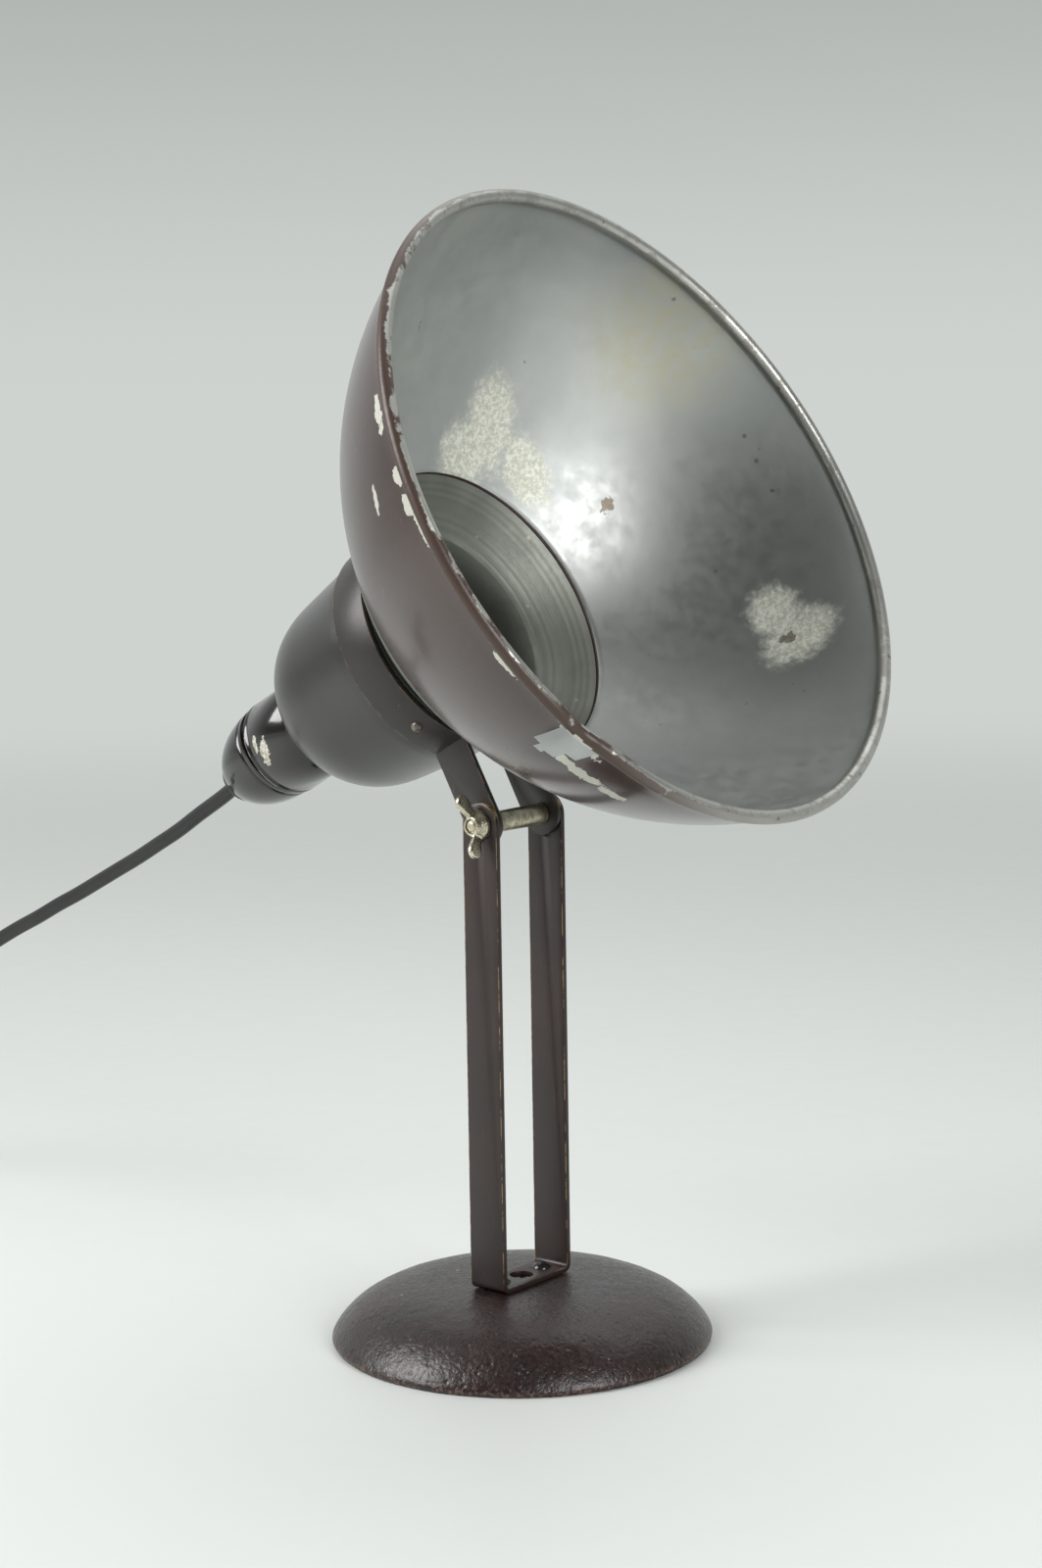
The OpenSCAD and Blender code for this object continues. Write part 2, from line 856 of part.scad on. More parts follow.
base_foot();
stand_strap();
stand_screws();
stand_washers();
stand_nuts();
pivot_bolt();
bolt_washer();
clamp_washer();
wing_nut();
spacer_tube();
yoke_strap();
yoke_screws();
yoke_nuts();
bell_housing();
neck_collar();
reflector();
retaining_ring();
socket_cover();
socket_cap();
cord_bushing();
cord_grip();
lampholder_body();
screw_shell();
centre_contact();
shell_contact();
terminal_screws();
lead_wires();
cord_inner();
cord();
cord_coil();
cord_tie();
cord_tail();
plug_body();
plug_pins();
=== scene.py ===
import bpy
import bmesh
import json
import math
from mathutils import Matrix, Vector
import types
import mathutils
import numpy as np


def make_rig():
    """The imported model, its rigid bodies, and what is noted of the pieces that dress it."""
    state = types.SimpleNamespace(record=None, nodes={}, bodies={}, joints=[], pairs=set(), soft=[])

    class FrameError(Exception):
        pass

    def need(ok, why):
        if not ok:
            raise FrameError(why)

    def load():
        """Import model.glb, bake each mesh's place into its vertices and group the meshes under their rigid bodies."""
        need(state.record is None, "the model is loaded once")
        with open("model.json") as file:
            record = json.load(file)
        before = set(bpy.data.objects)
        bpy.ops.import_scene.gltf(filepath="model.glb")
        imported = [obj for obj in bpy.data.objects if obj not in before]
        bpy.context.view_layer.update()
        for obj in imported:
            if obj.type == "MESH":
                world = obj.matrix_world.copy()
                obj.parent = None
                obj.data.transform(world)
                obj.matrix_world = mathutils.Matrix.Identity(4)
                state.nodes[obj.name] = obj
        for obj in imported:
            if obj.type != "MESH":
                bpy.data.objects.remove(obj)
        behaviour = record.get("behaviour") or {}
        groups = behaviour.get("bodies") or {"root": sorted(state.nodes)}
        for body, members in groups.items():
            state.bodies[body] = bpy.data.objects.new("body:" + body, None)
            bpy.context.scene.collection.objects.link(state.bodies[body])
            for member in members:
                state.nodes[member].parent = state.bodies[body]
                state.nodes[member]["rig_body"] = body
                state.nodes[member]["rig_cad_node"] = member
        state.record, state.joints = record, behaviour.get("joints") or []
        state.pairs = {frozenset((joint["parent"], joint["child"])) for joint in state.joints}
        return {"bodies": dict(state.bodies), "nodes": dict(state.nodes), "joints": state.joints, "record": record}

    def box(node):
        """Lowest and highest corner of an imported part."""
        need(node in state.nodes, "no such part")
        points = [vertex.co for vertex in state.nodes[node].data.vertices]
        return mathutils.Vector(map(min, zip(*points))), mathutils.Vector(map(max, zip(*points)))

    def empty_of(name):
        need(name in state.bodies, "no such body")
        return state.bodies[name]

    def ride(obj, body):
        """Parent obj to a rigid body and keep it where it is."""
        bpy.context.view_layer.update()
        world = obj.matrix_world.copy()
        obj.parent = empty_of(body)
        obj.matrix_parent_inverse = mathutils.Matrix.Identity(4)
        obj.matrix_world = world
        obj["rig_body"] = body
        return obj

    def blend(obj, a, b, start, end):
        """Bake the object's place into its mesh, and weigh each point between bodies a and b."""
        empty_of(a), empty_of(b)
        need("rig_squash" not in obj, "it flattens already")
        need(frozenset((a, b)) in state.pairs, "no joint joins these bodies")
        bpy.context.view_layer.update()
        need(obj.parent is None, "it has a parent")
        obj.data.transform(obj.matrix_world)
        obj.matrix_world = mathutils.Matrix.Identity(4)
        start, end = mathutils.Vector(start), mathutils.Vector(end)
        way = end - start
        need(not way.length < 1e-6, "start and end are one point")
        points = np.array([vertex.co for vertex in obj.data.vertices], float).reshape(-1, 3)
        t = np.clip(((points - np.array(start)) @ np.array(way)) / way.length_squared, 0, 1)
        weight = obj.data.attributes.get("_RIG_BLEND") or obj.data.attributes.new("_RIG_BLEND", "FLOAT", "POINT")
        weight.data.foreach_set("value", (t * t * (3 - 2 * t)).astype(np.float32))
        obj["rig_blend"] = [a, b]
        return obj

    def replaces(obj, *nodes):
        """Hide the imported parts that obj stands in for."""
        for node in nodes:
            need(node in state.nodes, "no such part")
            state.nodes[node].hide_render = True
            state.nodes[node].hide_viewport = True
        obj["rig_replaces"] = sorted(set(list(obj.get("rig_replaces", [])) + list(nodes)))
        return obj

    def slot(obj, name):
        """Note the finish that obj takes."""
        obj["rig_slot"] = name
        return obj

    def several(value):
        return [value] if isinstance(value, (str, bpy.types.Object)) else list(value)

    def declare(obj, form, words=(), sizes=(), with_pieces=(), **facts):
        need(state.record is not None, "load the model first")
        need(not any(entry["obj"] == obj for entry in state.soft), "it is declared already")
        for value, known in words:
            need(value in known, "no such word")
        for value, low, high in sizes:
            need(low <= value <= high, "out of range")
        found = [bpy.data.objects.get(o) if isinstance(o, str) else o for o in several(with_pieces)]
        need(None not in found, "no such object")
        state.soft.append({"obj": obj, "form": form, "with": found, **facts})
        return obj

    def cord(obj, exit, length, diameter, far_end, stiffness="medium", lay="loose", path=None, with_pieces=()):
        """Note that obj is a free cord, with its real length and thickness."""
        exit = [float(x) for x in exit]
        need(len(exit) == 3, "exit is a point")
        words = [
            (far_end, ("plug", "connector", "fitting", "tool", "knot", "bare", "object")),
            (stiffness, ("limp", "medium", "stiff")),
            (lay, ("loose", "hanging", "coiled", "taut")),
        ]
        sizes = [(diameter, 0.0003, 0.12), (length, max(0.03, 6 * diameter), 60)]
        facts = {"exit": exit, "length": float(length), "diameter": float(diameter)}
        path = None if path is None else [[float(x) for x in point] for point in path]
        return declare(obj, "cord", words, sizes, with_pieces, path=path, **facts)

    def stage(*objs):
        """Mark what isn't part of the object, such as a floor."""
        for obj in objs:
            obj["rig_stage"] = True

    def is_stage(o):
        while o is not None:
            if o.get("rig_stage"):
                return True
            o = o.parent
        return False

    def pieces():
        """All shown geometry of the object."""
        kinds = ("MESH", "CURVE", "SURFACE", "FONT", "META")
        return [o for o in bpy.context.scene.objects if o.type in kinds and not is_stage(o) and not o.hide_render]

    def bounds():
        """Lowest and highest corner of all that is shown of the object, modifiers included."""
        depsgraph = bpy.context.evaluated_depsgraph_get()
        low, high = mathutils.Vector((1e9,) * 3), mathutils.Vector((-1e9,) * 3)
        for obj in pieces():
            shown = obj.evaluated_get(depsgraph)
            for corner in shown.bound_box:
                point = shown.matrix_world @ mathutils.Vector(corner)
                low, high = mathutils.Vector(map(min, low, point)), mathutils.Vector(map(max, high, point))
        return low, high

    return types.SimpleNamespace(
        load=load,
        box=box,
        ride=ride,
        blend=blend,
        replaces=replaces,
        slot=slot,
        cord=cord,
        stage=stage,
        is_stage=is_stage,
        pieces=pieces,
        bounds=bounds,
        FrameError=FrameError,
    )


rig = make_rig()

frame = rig.load()
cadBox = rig.bounds()
mm = 0.001
fullTurn = 2 * math.pi

# The head's frame: z towards the mouth, x down towards the pivot, origin abreast of the pivot
tiltJoint = next(j for j in frame["joints"] if j["name"] == "head_tilt")
lampSocket = next(m for m in frame["record"]["mounts"] if m["name"] == "lamp_socket")
pivot = Vector(tiltJoint["pos_m"])
headAxis = Vector(lampSocket["axis"]).normalized()
socketPoint = Vector(lampSocket["pos_m"])
headOrigin = socketPoint + headAxis * (pivot - socketPoint).dot(headAxis)
headTurn = math.atan2(headAxis.x, headAxis.z)


# the camera

cameraSet = {
    "place": (0.6592, -0.8053, 0.3435),
    "yaw": 39.15,       # degrees round from looking along +Y
    "pitch": 7.29,      # degrees down
    "roll": -0.91,
    "lens": 65.15,
    "sensor": 36,
}


def makeCamera():
    bpy.ops.object.camera_add(location=cameraSet["place"])
    camera = bpy.context.object
    camera.name = "camera"
    camera.data.lens = cameraSet["lens"]
    camera.data.sensor_width = cameraSet["sensor"]
    yaw, pitch, roll = (math.radians(cameraSet[k]) for k in ("yaw", "pitch", "roll"))
    back = Vector((math.sin(yaw) * math.cos(pitch), -math.cos(yaw) * math.cos(pitch), math.sin(pitch)))
    right = Vector((math.cos(yaw), math.sin(yaw), 0))
    up = back.cross(right)
    rolledRight = math.cos(roll) * right + math.sin(roll) * up
    rolledUp = math.cos(roll) * up - math.sin(roll) * right
    camera.rotation_euler = Matrix((rolledRight, rolledUp, back)).transposed().to_euler()
    bpy.context.scene.camera = camera


makeCamera()
print("camera is set")


# modelling helpers

def deselectAll():
    if bpy.context.mode != "OBJECT":
        bpy.ops.object.mode_set(mode="OBJECT")
    bpy.ops.object.select_all(action="DESELECT")
    bpy.context.view_layer.objects.active = None


def activate(piece):
    deselectAll()
    piece.select_set(True)
    bpy.context.view_layer.objects.active = piece


def startVertex(name, point):
    # a plane merged to one loose vertex, ready to extrude from
    deselectAll()
    bpy.ops.mesh.primitive_plane_add(size=mm, location=(0, 0, 0))
    piece = bpy.context.object
    piece.name = name
    bpy.ops.object.mode_set(mode="EDIT")
    bpy.ops.mesh.select_mode(type="VERT")
    bpy.ops.mesh.merge(type="CENTER")
    bpy.ops.transform.translate(value=Vector(point) * mm)
    return piece


def traceLine(name, points, closed=False):
    # points are in millimetres; the piece is left in edit mode, all selected
    piece = startVertex(name, points[0])
    for a, b in zip(points, points[1:]):
        step = (Vector(b) - Vector(a)) * mm
        bpy.ops.mesh.extrude_region_move(TRANSFORM_OT_translate={"value": step})
    bpy.ops.mesh.select_all(action="SELECT")
    if closed:
        bpy.ops.mesh.remove_doubles(threshold=mm / 100)
        bpy.ops.mesh.select_all(action="SELECT")
    return piece


def closeMesh():
    bpy.ops.mesh.select_all(action="SELECT")
    bpy.ops.mesh.remove_doubles(threshold=mm / 200)
    bpy.ops.mesh.normals_make_consistent(inside=False)
    bpy.ops.object.mode_set(mode="OBJECT")


def lathe(name, profile, steps=96, looped=True):
    # profile holds (radius, height) pairs; a looped one ends where it starts
    points = [(r, 0, z) for r, z in profile]
    piece = traceLine(name, points + points[:1] if looped else points, closed=looped)
    bpy.ops.mesh.spin(steps=steps, angle=fullTurn, center=(0, 0, 0), axis=(0, 0, 1))
    closeMesh()
    return piece


def plate(name, outline, thickness, plane="XY"):
    # a flat outline in millimetres, filled and grown to both sides of its plane
    lay = {"XY": lambda u, v: (u, v, 0), "YZ": lambda u, v: (0, u, v), "XZ": lambda u, v: (u, 0, v)}[plane]
    grow = {"XY": (0, 0, 1), "YZ": (1, 0, 0), "XZ": (0, 1, 0)}[plane]
    points = [lay(u, v) for u, v in outline]
    piece = traceLine(name, points + points[:1], closed=True)
    bpy.ops.mesh.edge_face_add()
    half = Vector(grow) * thickness * mm / 2
    bpy.ops.transform.translate(value=-half)
    bpy.ops.mesh.extrude_region_move(TRANSFORM_OT_translate={"value": 2 * half})
    closeMesh()
    return piece


def ribbon(name, line, width, along):
    # an edge line in millimetres, extruded to both sides along a direction
    piece = traceLine(name, line)
    half = Vector(along) * width * mm / 2
    bpy.ops.transform.translate(value=-half)
    bpy.ops.mesh.extrude_region_move(TRANSFORM_OT_translate={"value": 2 * half})
    closeMesh()
    return piece


def addModifier(piece, kind, **settings):
    activate(piece)
    modifier = piece.modifiers.new(kind.lower(), kind)
    for key, value in settings.items():
        setattr(modifier, key, value)
    bpy.ops.object.modifier_apply(modifier=modifier.name)


def softenEdges(piece, width, segments=2, angle=35):
    addModifier(piece, "BEVEL", width=width * mm, segments=segments, limit_method="ANGLE",
                angle_limit=math.radians(angle), use_clamp_overlap=True)


def cutAway(piece, tool):
    addModifier(piece, "BOOLEAN", operation="DIFFERENCE", object=tool, solver="EXACT")
    dropObject(tool)


def fuse(piece, other):
    addModifier(piece, "BOOLEAN", operation="UNION", object=other, solver="EXACT")
    dropObject(other)


def dropObject(thing):
    deselectAll()
    mesh = thing.data
    bpy.data.objects.remove(thing)
    bpy.data.meshes.remove(mesh)


def rod(radius, length, place, turn=(0, 0, 0), sides=32):
    deselectAll()
    bpy.ops.mesh.primitive_cylinder_add(vertices=sides, radius=radius * mm, depth=length * mm,
                                        location=Vector(place) * mm, rotation=turn)
    tool = bpy.context.object
    bpy.ops.object.transform_apply(location=True, rotation=True, scale=True)
    return tool


def block(size, place, turn=(0, 0, 0)):
    deselectAll()
    bpy.ops.mesh.primitive_cube_add(size=mm, location=Vector(place) * mm, rotation=turn, scale=size)
    tool = bpy.context.object
    bpy.ops.object.transform_apply(location=True, rotation=True, scale=True)
    return tool


def joinAll(pieces, name):
    deselectAll()
    for piece in pieces:
        piece.select_set(True)
    bpy.context.view_layer.objects.active = pieces[0]
    if len(pieces) > 1:
        bpy.ops.object.join()
    pieces[0].name = name
    return pieces[0]


def copyOf(piece):
    twin = piece.copy()
    twin.data = piece.data.copy()
    bpy.context.scene.collection.objects.link(twin)
    return twin


def settle(piece, place=(0, 0, 0), turn=(0, 0, 0)):
    # place is in millimetres; the move ends up in the mesh
    activate(piece)
    piece.location = Vector(place) * mm
    piece.rotation_euler = turn
    bpy.ops.object.transform_apply(location=True, rotation=True, scale=True)
    return piece


def intoHead(piece):
    activate(piece)
    piece.location = headOrigin
    piece.rotation_euler = (0, headTurn, 0)
    bpy.ops.object.transform_apply(location=True, rotation=True, scale=True)
    return piece


def smoothBy(piece, angle=35):
    activate(piece)
    bpy.ops.object.shade_smooth_by_angle(angle=math.radians(angle))


def finishPiece(piece, body, slot, nodes, material, angle=35):
    smoothBy(piece, angle)
    piece.data.materials.clear()
    piece.data.materials.append(material)
    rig.ride(piece, body)
    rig.replaces(piece, *nodes)
    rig.slot(piece, slot)
    return piece


def arc(centre, radius, fromAngle, toAngle, steps):
    # points round a centre, angles in degrees
    return [(centre[0] + radius * math.cos(math.radians(fromAngle + (toAngle - fromAngle) * i / steps)),
             centre[1] + radius * math.sin(math.radians(fromAngle + (toAngle - fromAngle) * i / steps)))
            for i in range(steps + 1)]


def smoothStep(t):
    t = min(1, max(0, t))
    return t * t * (3 - 2 * t)


def lerp(a, b, t):
    return a + (b - a) * t


# material helpers

def srgb(r, g, b):
    # a colour as seen on a screen, 0 to 255, to the shader's linear numbers
    def linear(v):
        v /= 255
        return v / 12.92 if v < 0.04045 else ((v + 0.055) / 1.055) ** 2.4
    return (linear(r), linear(g), linear(b), 1)


def newNode(tree, kind, **settings):
    node = tree.nodes.new(kind)
    for key, value in settings.items():
        setattr(node, key, value)
    return node


def wire(tree, value, socket):
    # joins an output, or sets a plain value
    if isinstance(value, bpy.types.NodeSocket):
        tree.links.new(value, socket)
    elif value is not None:
        socket.default_value = value


def maths(tree, operation, a, b=None, clamp=False):
    node = newNode(tree, "ShaderNodeMath", operation=operation, use_clamp=clamp)
    wire(tree, a, node.inputs[0])
    wire(tree, b, node.inputs[1])
    return node.outputs[0]


def times(tree, a, b):
    return maths(tree, "MULTIPLY", a, b)


def plus(tree, a, b):
    return maths(tree, "ADD", a, b)


def minus(tree, a, b):
    return maths(tree, "SUBTRACT", a, b)


def vectorMaths(tree, operation, a, b=None):
    node = newNode(tree, "ShaderNodeVectorMath", operation=operation)
    wire(tree, a, node.inputs[0])
    wire(tree, b, node.inputs[1])
    return node.outputs["Value"] if operation in ("LENGTH", "DISTANCE", "DOT_PRODUCT") else node.outputs[0]


def ramp(tree, value, low, high, outLow=0.0, outHigh=1.0, smooth=True):
    node = newNode(tree, "ShaderNodeMapRange", clamp=True,
                   interpolation_type="SMOOTHSTEP" if smooth else "LINEAR")
    for name, v in (("Value", value), ("From Min", low), ("From Max", high), ("To Min", outLow),
                    ("To Max", outHigh)):
        wire(tree, v, node.inputs[name])
    return node.outputs["Result"]


def noise(tree, vector, scale, detail=3.0, rough=0.55):
    node = newNode(tree, "ShaderNodeTexNoise")
    wire(tree, vector, node.inputs["Vector"])
    for name, v in (("Scale", scale), ("Detail", detail), ("Roughness", rough)):
        node.inputs[name].default_value = v
    return node.outputs["Fac"]


def cells(tree, vector, scale):
    node = newNode(tree, "ShaderNodeTexVoronoi")
    wire(tree, vector, node.inputs["Vector"])
    node.inputs["Scale"].default_value = scale
    return node


def mixColour(tree, fac, a, b):
    node = newNode(tree, "ShaderNodeMix", data_type="RGBA")
    wire(tree, fac, node.inputs["Factor"])
    wire(tree, a, node.inputs[6])
    wire(tree, b, node.inputs[7])
    return node.outputs[2]


def mixValue(tree, fac, a, b):
    node = newNode(tree, "ShaderNodeMix", data_type="FLOAT")
    wire(tree, fac, node.inputs["Factor"])
    wire(tree, a, node.inputs[2])
    wire(tree, b, node.inputs[3])
    return node.outputs[0]


def mapped(tree, vector, place=(0, 0, 0), turn=(0, 0, 0), scale=(1, 1, 1), kind="POINT"):
    node = newNode(tree, "ShaderNodeMapping", vector_type=kind)
    wire(tree, vector, node.inputs["Vector"])
    node.inputs["Location"].default_value = place
    node.inputs["Rotation"].default_value = turn
    node.inputs["Scale"].default_value = scale
    return node.outputs[0]


def apart(tree, vector):
    node = newNode(tree, "ShaderNodeSeparateXYZ")
    wire(tree, vector, node.inputs[0])
    return node.outputs


def together(tree, x, y, z):
    node = newNode(tree, "ShaderNodeCombineXYZ")
    for i, v in enumerate((x, y, z)):
        wire(tree, v, node.inputs[i])
    return node.outputs[0]


def newGroup(name, inputs, outputs):
    tree = bpy.data.node_groups.new(name, "ShaderNodeTree")
    for label, kind, value in inputs:
        socket = tree.interface.new_socket(name=label, in_out="INPUT", socket_type=kind)
        if value is not None:
            socket.default_value = value
    for label, kind in outputs:
        tree.interface.new_socket(name=label, in_out="OUTPUT", socket_type=kind)
    given = tree.nodes.new("NodeGroupInput").outputs
    result = tree.nodes.new("NodeGroupOutput").inputs
    return tree, given, result


def useGroup(tree, group, **values):
    node = newNode(tree, "ShaderNodeGroup", node_tree=group)
    for key, value in values.items():
        wire(tree, value, node.inputs[key])
    return node.outputs


def makeRaggedPatch():
    # a ragged patch round the origin of its vector: 1 inside, 0 outside
    tree, given, result = newGroup("raggedPatch", [
        ("Vector", "NodeSocketVector", None), ("Grain", "NodeSocketVector", None),
        ("Raggedness", "NodeSocketFloat", 0.6), ("Softness", "NodeSocketFloat", 0.05)],
        [("Mask", "NodeSocketFloat")])
    reach = vectorMaths(tree, "LENGTH", given["Vector"])
    rough = noise(tree, given["Grain"], 260, 4, 0.62)
    push = times(tree, minus(tree, rough, 0.5), given["Raggedness"])
    edge = plus(tree, reach, times(tree, push, 3.2))
    low = minus(tree, 1.0, given["Softness"])
    wire(tree, ramp(tree, edge, low, 1.0, 1.0, 0.0), result["Mask"])
    return tree


def makeAgedSurface():
    # fine even variation, broad clouding and small specks
    tree, given, result = newGroup("agedSurface", [
        ("Vector", "NodeSocketVector", None), ("Cloud Size", "NodeSocketFloat", 30.0),
        ("Grain Size", "NodeSocketFloat", 900.0), ("Speck Amount", "NodeSocketFloat", 0.3)],
        [("Cloud", "NodeSocketFloat"), ("Grain", "NodeSocketFloat"), ("Specks", "NodeSocketFloat")])
    cloud = newNode(tree, "ShaderNodeTexNoise")
    wire(tree, given["Vector"], cloud.inputs["Vector"])
    wire(tree, given["Cloud Size"], cloud.inputs["Scale"])
    cloud.inputs["Detail"].default_value = 4
    grain = newNode(tree, "ShaderNodeTexNoise")
    wire(tree, given["Vector"], grain.inputs["Vector"])
    wire(tree, given["Grain Size"], grain.inputs["Scale"])
    grain.inputs["Detail"].default_value = 3
    spots = cells(tree, given["Vector"], 170)
    keep = maths(tree, "LESS_THAN", noise(tree, given["Vector"], 75, 2), given["Speck Amount"])
    dot = ramp(tree, spots.outputs["Distance"], 0.10, 0.2, 1.0, 0.0)
    wire(tree, ramp(tree, cloud.outputs["Fac"], 0.3, 0.7), result["Cloud"])
    wire(tree, grain.outputs["Fac"], result["Grain"])
    wire(tree, times(tree, dot, keep), result["Specks"])
    return tree


def makeWornEdge():
    # worn edge of a strip: Distance is how far out from its middle line a point is
    tree, given, result = newGroup("wornEdge", [
        ("Vector", "NodeSocketVector", None), ("Distance", "NodeSocketFloat", 0.0),
        ("Edge", "NodeSocketFloat", 0.008), ("Width", "NodeSocketFloat", 0.0006),
        ("Facing Side", "NodeSocketFloat", 0.0)],
        [("Mask", "NodeSocketFloat")])
    start = minus(tree, given["Edge"], given["Width"])
    band = ramp(tree, given["Distance"], start, given["Edge"])
    broken = ramp(tree, noise(tree, given["Vector"], 190, 4, 0.65), 0.46, 0.58)
    side = maths(tree, "SUBTRACT", 1.0, given["Facing Side"], clamp=True)
    worn = times(tree, times(tree, band, broken), side)
    wire(tree, worn, result["Mask"])
    return tree


raggedPatch = makeRaggedPatch()
agedSurface = makeAgedSurface()
wornEdge = makeWornEdge()


def newMaterial(name, rough=0.5, metal=0.0, **fixed):
    material = bpy.data.materials.new(name)
    material.use_nodes = True
    tree = material.node_tree
    surface = tree.nodes["Principled BSDF"]
    surface.inputs["Roughness"].default_value = rough
    surface.inputs["Metallic"].default_value = metal
    for key, value in fixed.items():
        surface.inputs[key.replace("_", " ")].default_value = value
    coords = newNode(tree, "ShaderNodeTexCoord").outputs["Object"]
    return material, tree, surface, coords


def addBump(tree, surface, height, distance, strength=1.0):
    bump = newNode(tree, "ShaderNodeBump")
    bump.inputs["Distance"].default_value = distance
    bump.inputs["Strength"].default_value = strength
    wire(tree, height, bump.inputs["Height"])
    wire(tree, bump.outputs[0], surface.inputs["Normal"])


def ageing(tree, vector, cloudSize, grainSize, speckAmount):
    return useGroup(tree, agedSurface, Vector=vector, **{"Cloud Size": cloudSize, "Grain Size": grainSize,
                                                         "Speck Amount": speckAmount})


def headCoords(tree, coords):
    # object coordinates turned into the head's own frame, in metres
    return mapped(tree, coords, place=headOrigin, turn=(0, headTurn, 0), kind="TEXTURE")


def patchMask(tree, local, spots, soft=0.05):
    # spots: (place, half sizes, turn in degrees, raggedness), places and sizes in millimetres
    total = None
    for place, size, turn, ragged in spots:
        vector = mapped(tree, local, place=Vector(place) * mm, turn=[math.radians(t) for t in turn],
                        scale=Vector(size) * mm, kind="TEXTURE")
        mask = useGroup(tree, raggedPatch, Vector=vector, Grain=local, Raggedness=ragged,
                        Softness=soft)["Mask"]
        total = mask if total is None else maths(tree, "MAXIMUM", total, mask)
    return total


# finishes

def castPaint():
    material, tree, surface, coords = newMaterial("castPaint", 0.36, Coat_Weight=0.15, Coat_Roughness=0.3)
    aged = ageing(tree, coords, 38.0, 700.0, 0.42)
    base = mixColour(tree, aged["Cloud"], srgb(26, 19, 18), srgb(40, 26, 24))
    fine = ramp(tree, aged["Grain"], 0.35, 0.7)
    base = mixColour(tree, times(tree, fine, 0.4), base, srgb(54, 40, 36))
    base = mixColour(tree, times(tree, aged["Specks"], 0.9), base, srgb(24, 17, 16))
    pale = cells(tree, mapped(tree, coords, place=(0.013, 0.02, 0)), 120)
    dust = ramp(tree, pale.outputs["Distance"], 0.05, 0.1, 1.0, 0.0)
    few = maths(tree, "GREATER_THAN", noise(tree, coords, 60, 2), 0.56)
    base = mixColour(tree, times(tree, dust, few), base, srgb(150, 128, 104))
    height = apart(tree, coords)["Z"]
    rubbed = times(tree, ramp(tree, height, 0.0045, 0.001), ramp(tree, aged["Grain"], 0.5, 0.62))
    base = mixColour(tree, rubbed, base, srgb(104, 78, 64))
    wire(tree, base, surface.inputs["Base Color"])
    wire(tree, ramp(tree, aged["Grain"], 0.3, 0.75, 0.26, 0.44), surface.inputs["Roughness"])
    lumps = noise(tree, coords, 210, 4, 0.6)
    pits = ramp(tree, cells(tree, coords, 230).outputs["Distance"], 0.0, 0.3)
    relief = plus(tree, times(tree, lumps, 0.6), times(tree, aged["Grain"], 0.25))
    relief = plus(tree, relief, times(tree, pits, 0.22))
    relief = minus(tree, relief, times(tree, aged["Specks"], 0.8))
    addBump(tree, surface, relief, 0.0012, 0.9)
    return material


def stripPaint(name, dark, light, middle, side, edge=8 * mm, amount=1.0):
    # middle and side give the distance from the strip's middle line and how far a face looks sideways
    material, tree, surface, coords = newMaterial(name, 0.4, Coat_Weight=0.1, Coat_Roughness=0.35)
    aged = ageing(tree, coords, 28.0, 1100.0, 0.3)
    worn = useGroup(tree, wornEdge, Vector=coords, Distance=middle(tree, coords), Edge=edge,
                    Width=0.5 * mm, **{"Facing Side": side(tree)})["Mask"]
    base = mixColour(tree, aged["Cloud"], srgb(*dark), srgb(*light))
    base = mixColour(tree, times(tree, aged["Specks"], 0.5), base, srgb(128, 104, 84))
    scratch = noise(tree, mapped(tree, coords, turn=(0.3, 0.2, 0.4), scale=(900, 900, 24)), 1.0, 2)
    line = times(tree, ramp(tree, scratch, 0.70, 0.76), 0.35)
    base = mixColour(tree, line, base, srgb(118, 98, 84))
    base = mixColour(tree, times(tree, worn, amount), base, srgb(166, 140, 96))
    wire(tree, base, surface.inputs["Base Color"])
    wire(tree, mixValue(tree, aged["Grain"], 0.3, 0.5), surface.inputs["Roughness"])
    relief = minus(tree, times(tree, aged["Grain"], 0.5), times(tree, worn, 0.8))
    addBump(tree, surface, relief, 0.00012, 0.7)
    return material


def standMiddle(tree, coords):
    x, _, z = apart(tree, coords)
    over = maths(tree, "MAXIMUM", minus(tree, z, pivot.z), 0.0)
    return vectorMaths(tree, "LENGTH", together(tree, x, over, 0.0))


def standSide(tree):
    normal = newNode(tree, "ShaderNodeTexCoord").outputs["Normal"]
    return ramp(tree, maths(tree, "ABSOLUTE", apart(tree, normal)["X"]), 0.85, 0.97)


def yokeMiddle(tree, coords):
    return maths(tree, "ABSOLUTE", apart(tree, headCoords(tree, coords))["Z"])


def yokeSide(tree):
    normal = newNode(tree, "ShaderNodeTexCoord").outputs["Normal"]
    toAxis = vectorMaths(tree, "DOT_PRODUCT", normal, tuple(headAxis))
    return ramp(tree, maths(tree, "ABSOLUTE", toAxis), 0.85, 0.97)


def bellPaint():
    material, tree, surface, coords = newMaterial("bellPaint", 0.34, Coat_Weight=0.6, Coat_Roughness=0.26)
    local = headCoords(tree, coords)
    aged = ageing(tree, local, 24.0, 1400.0, 0.34)
    base = mixColour(tree, aged["Cloud"], srgb(31, 29, 26), srgb(42, 40, 36))
    base = mixColour(tree, times(tree, aged["Specks"], 0.4), base, srgb(104, 98, 90))
    radius = vectorMaths(tree, "LENGTH", vectorMaths(tree, "MULTIPLY", local, (1, 1, 0)))
    along = apart(tree, local)["Z"]
    rings = noise(tree, together(tree, radius, times(tree, along, 1.0), 0.0), 900, 1)
    wire(tree, base, surface.inputs["Base Color"])
    wire(tree, mixValue(tree, aged["Cloud"], 0.3, 0.4), surface.inputs["Roughness"])
    relief = plus(tree, times(tree, rings, 0.35), times(tree, aged["Grain"], 0.3))
    addBump(tree, surface, relief, 0.00012, 0.6)
    return material


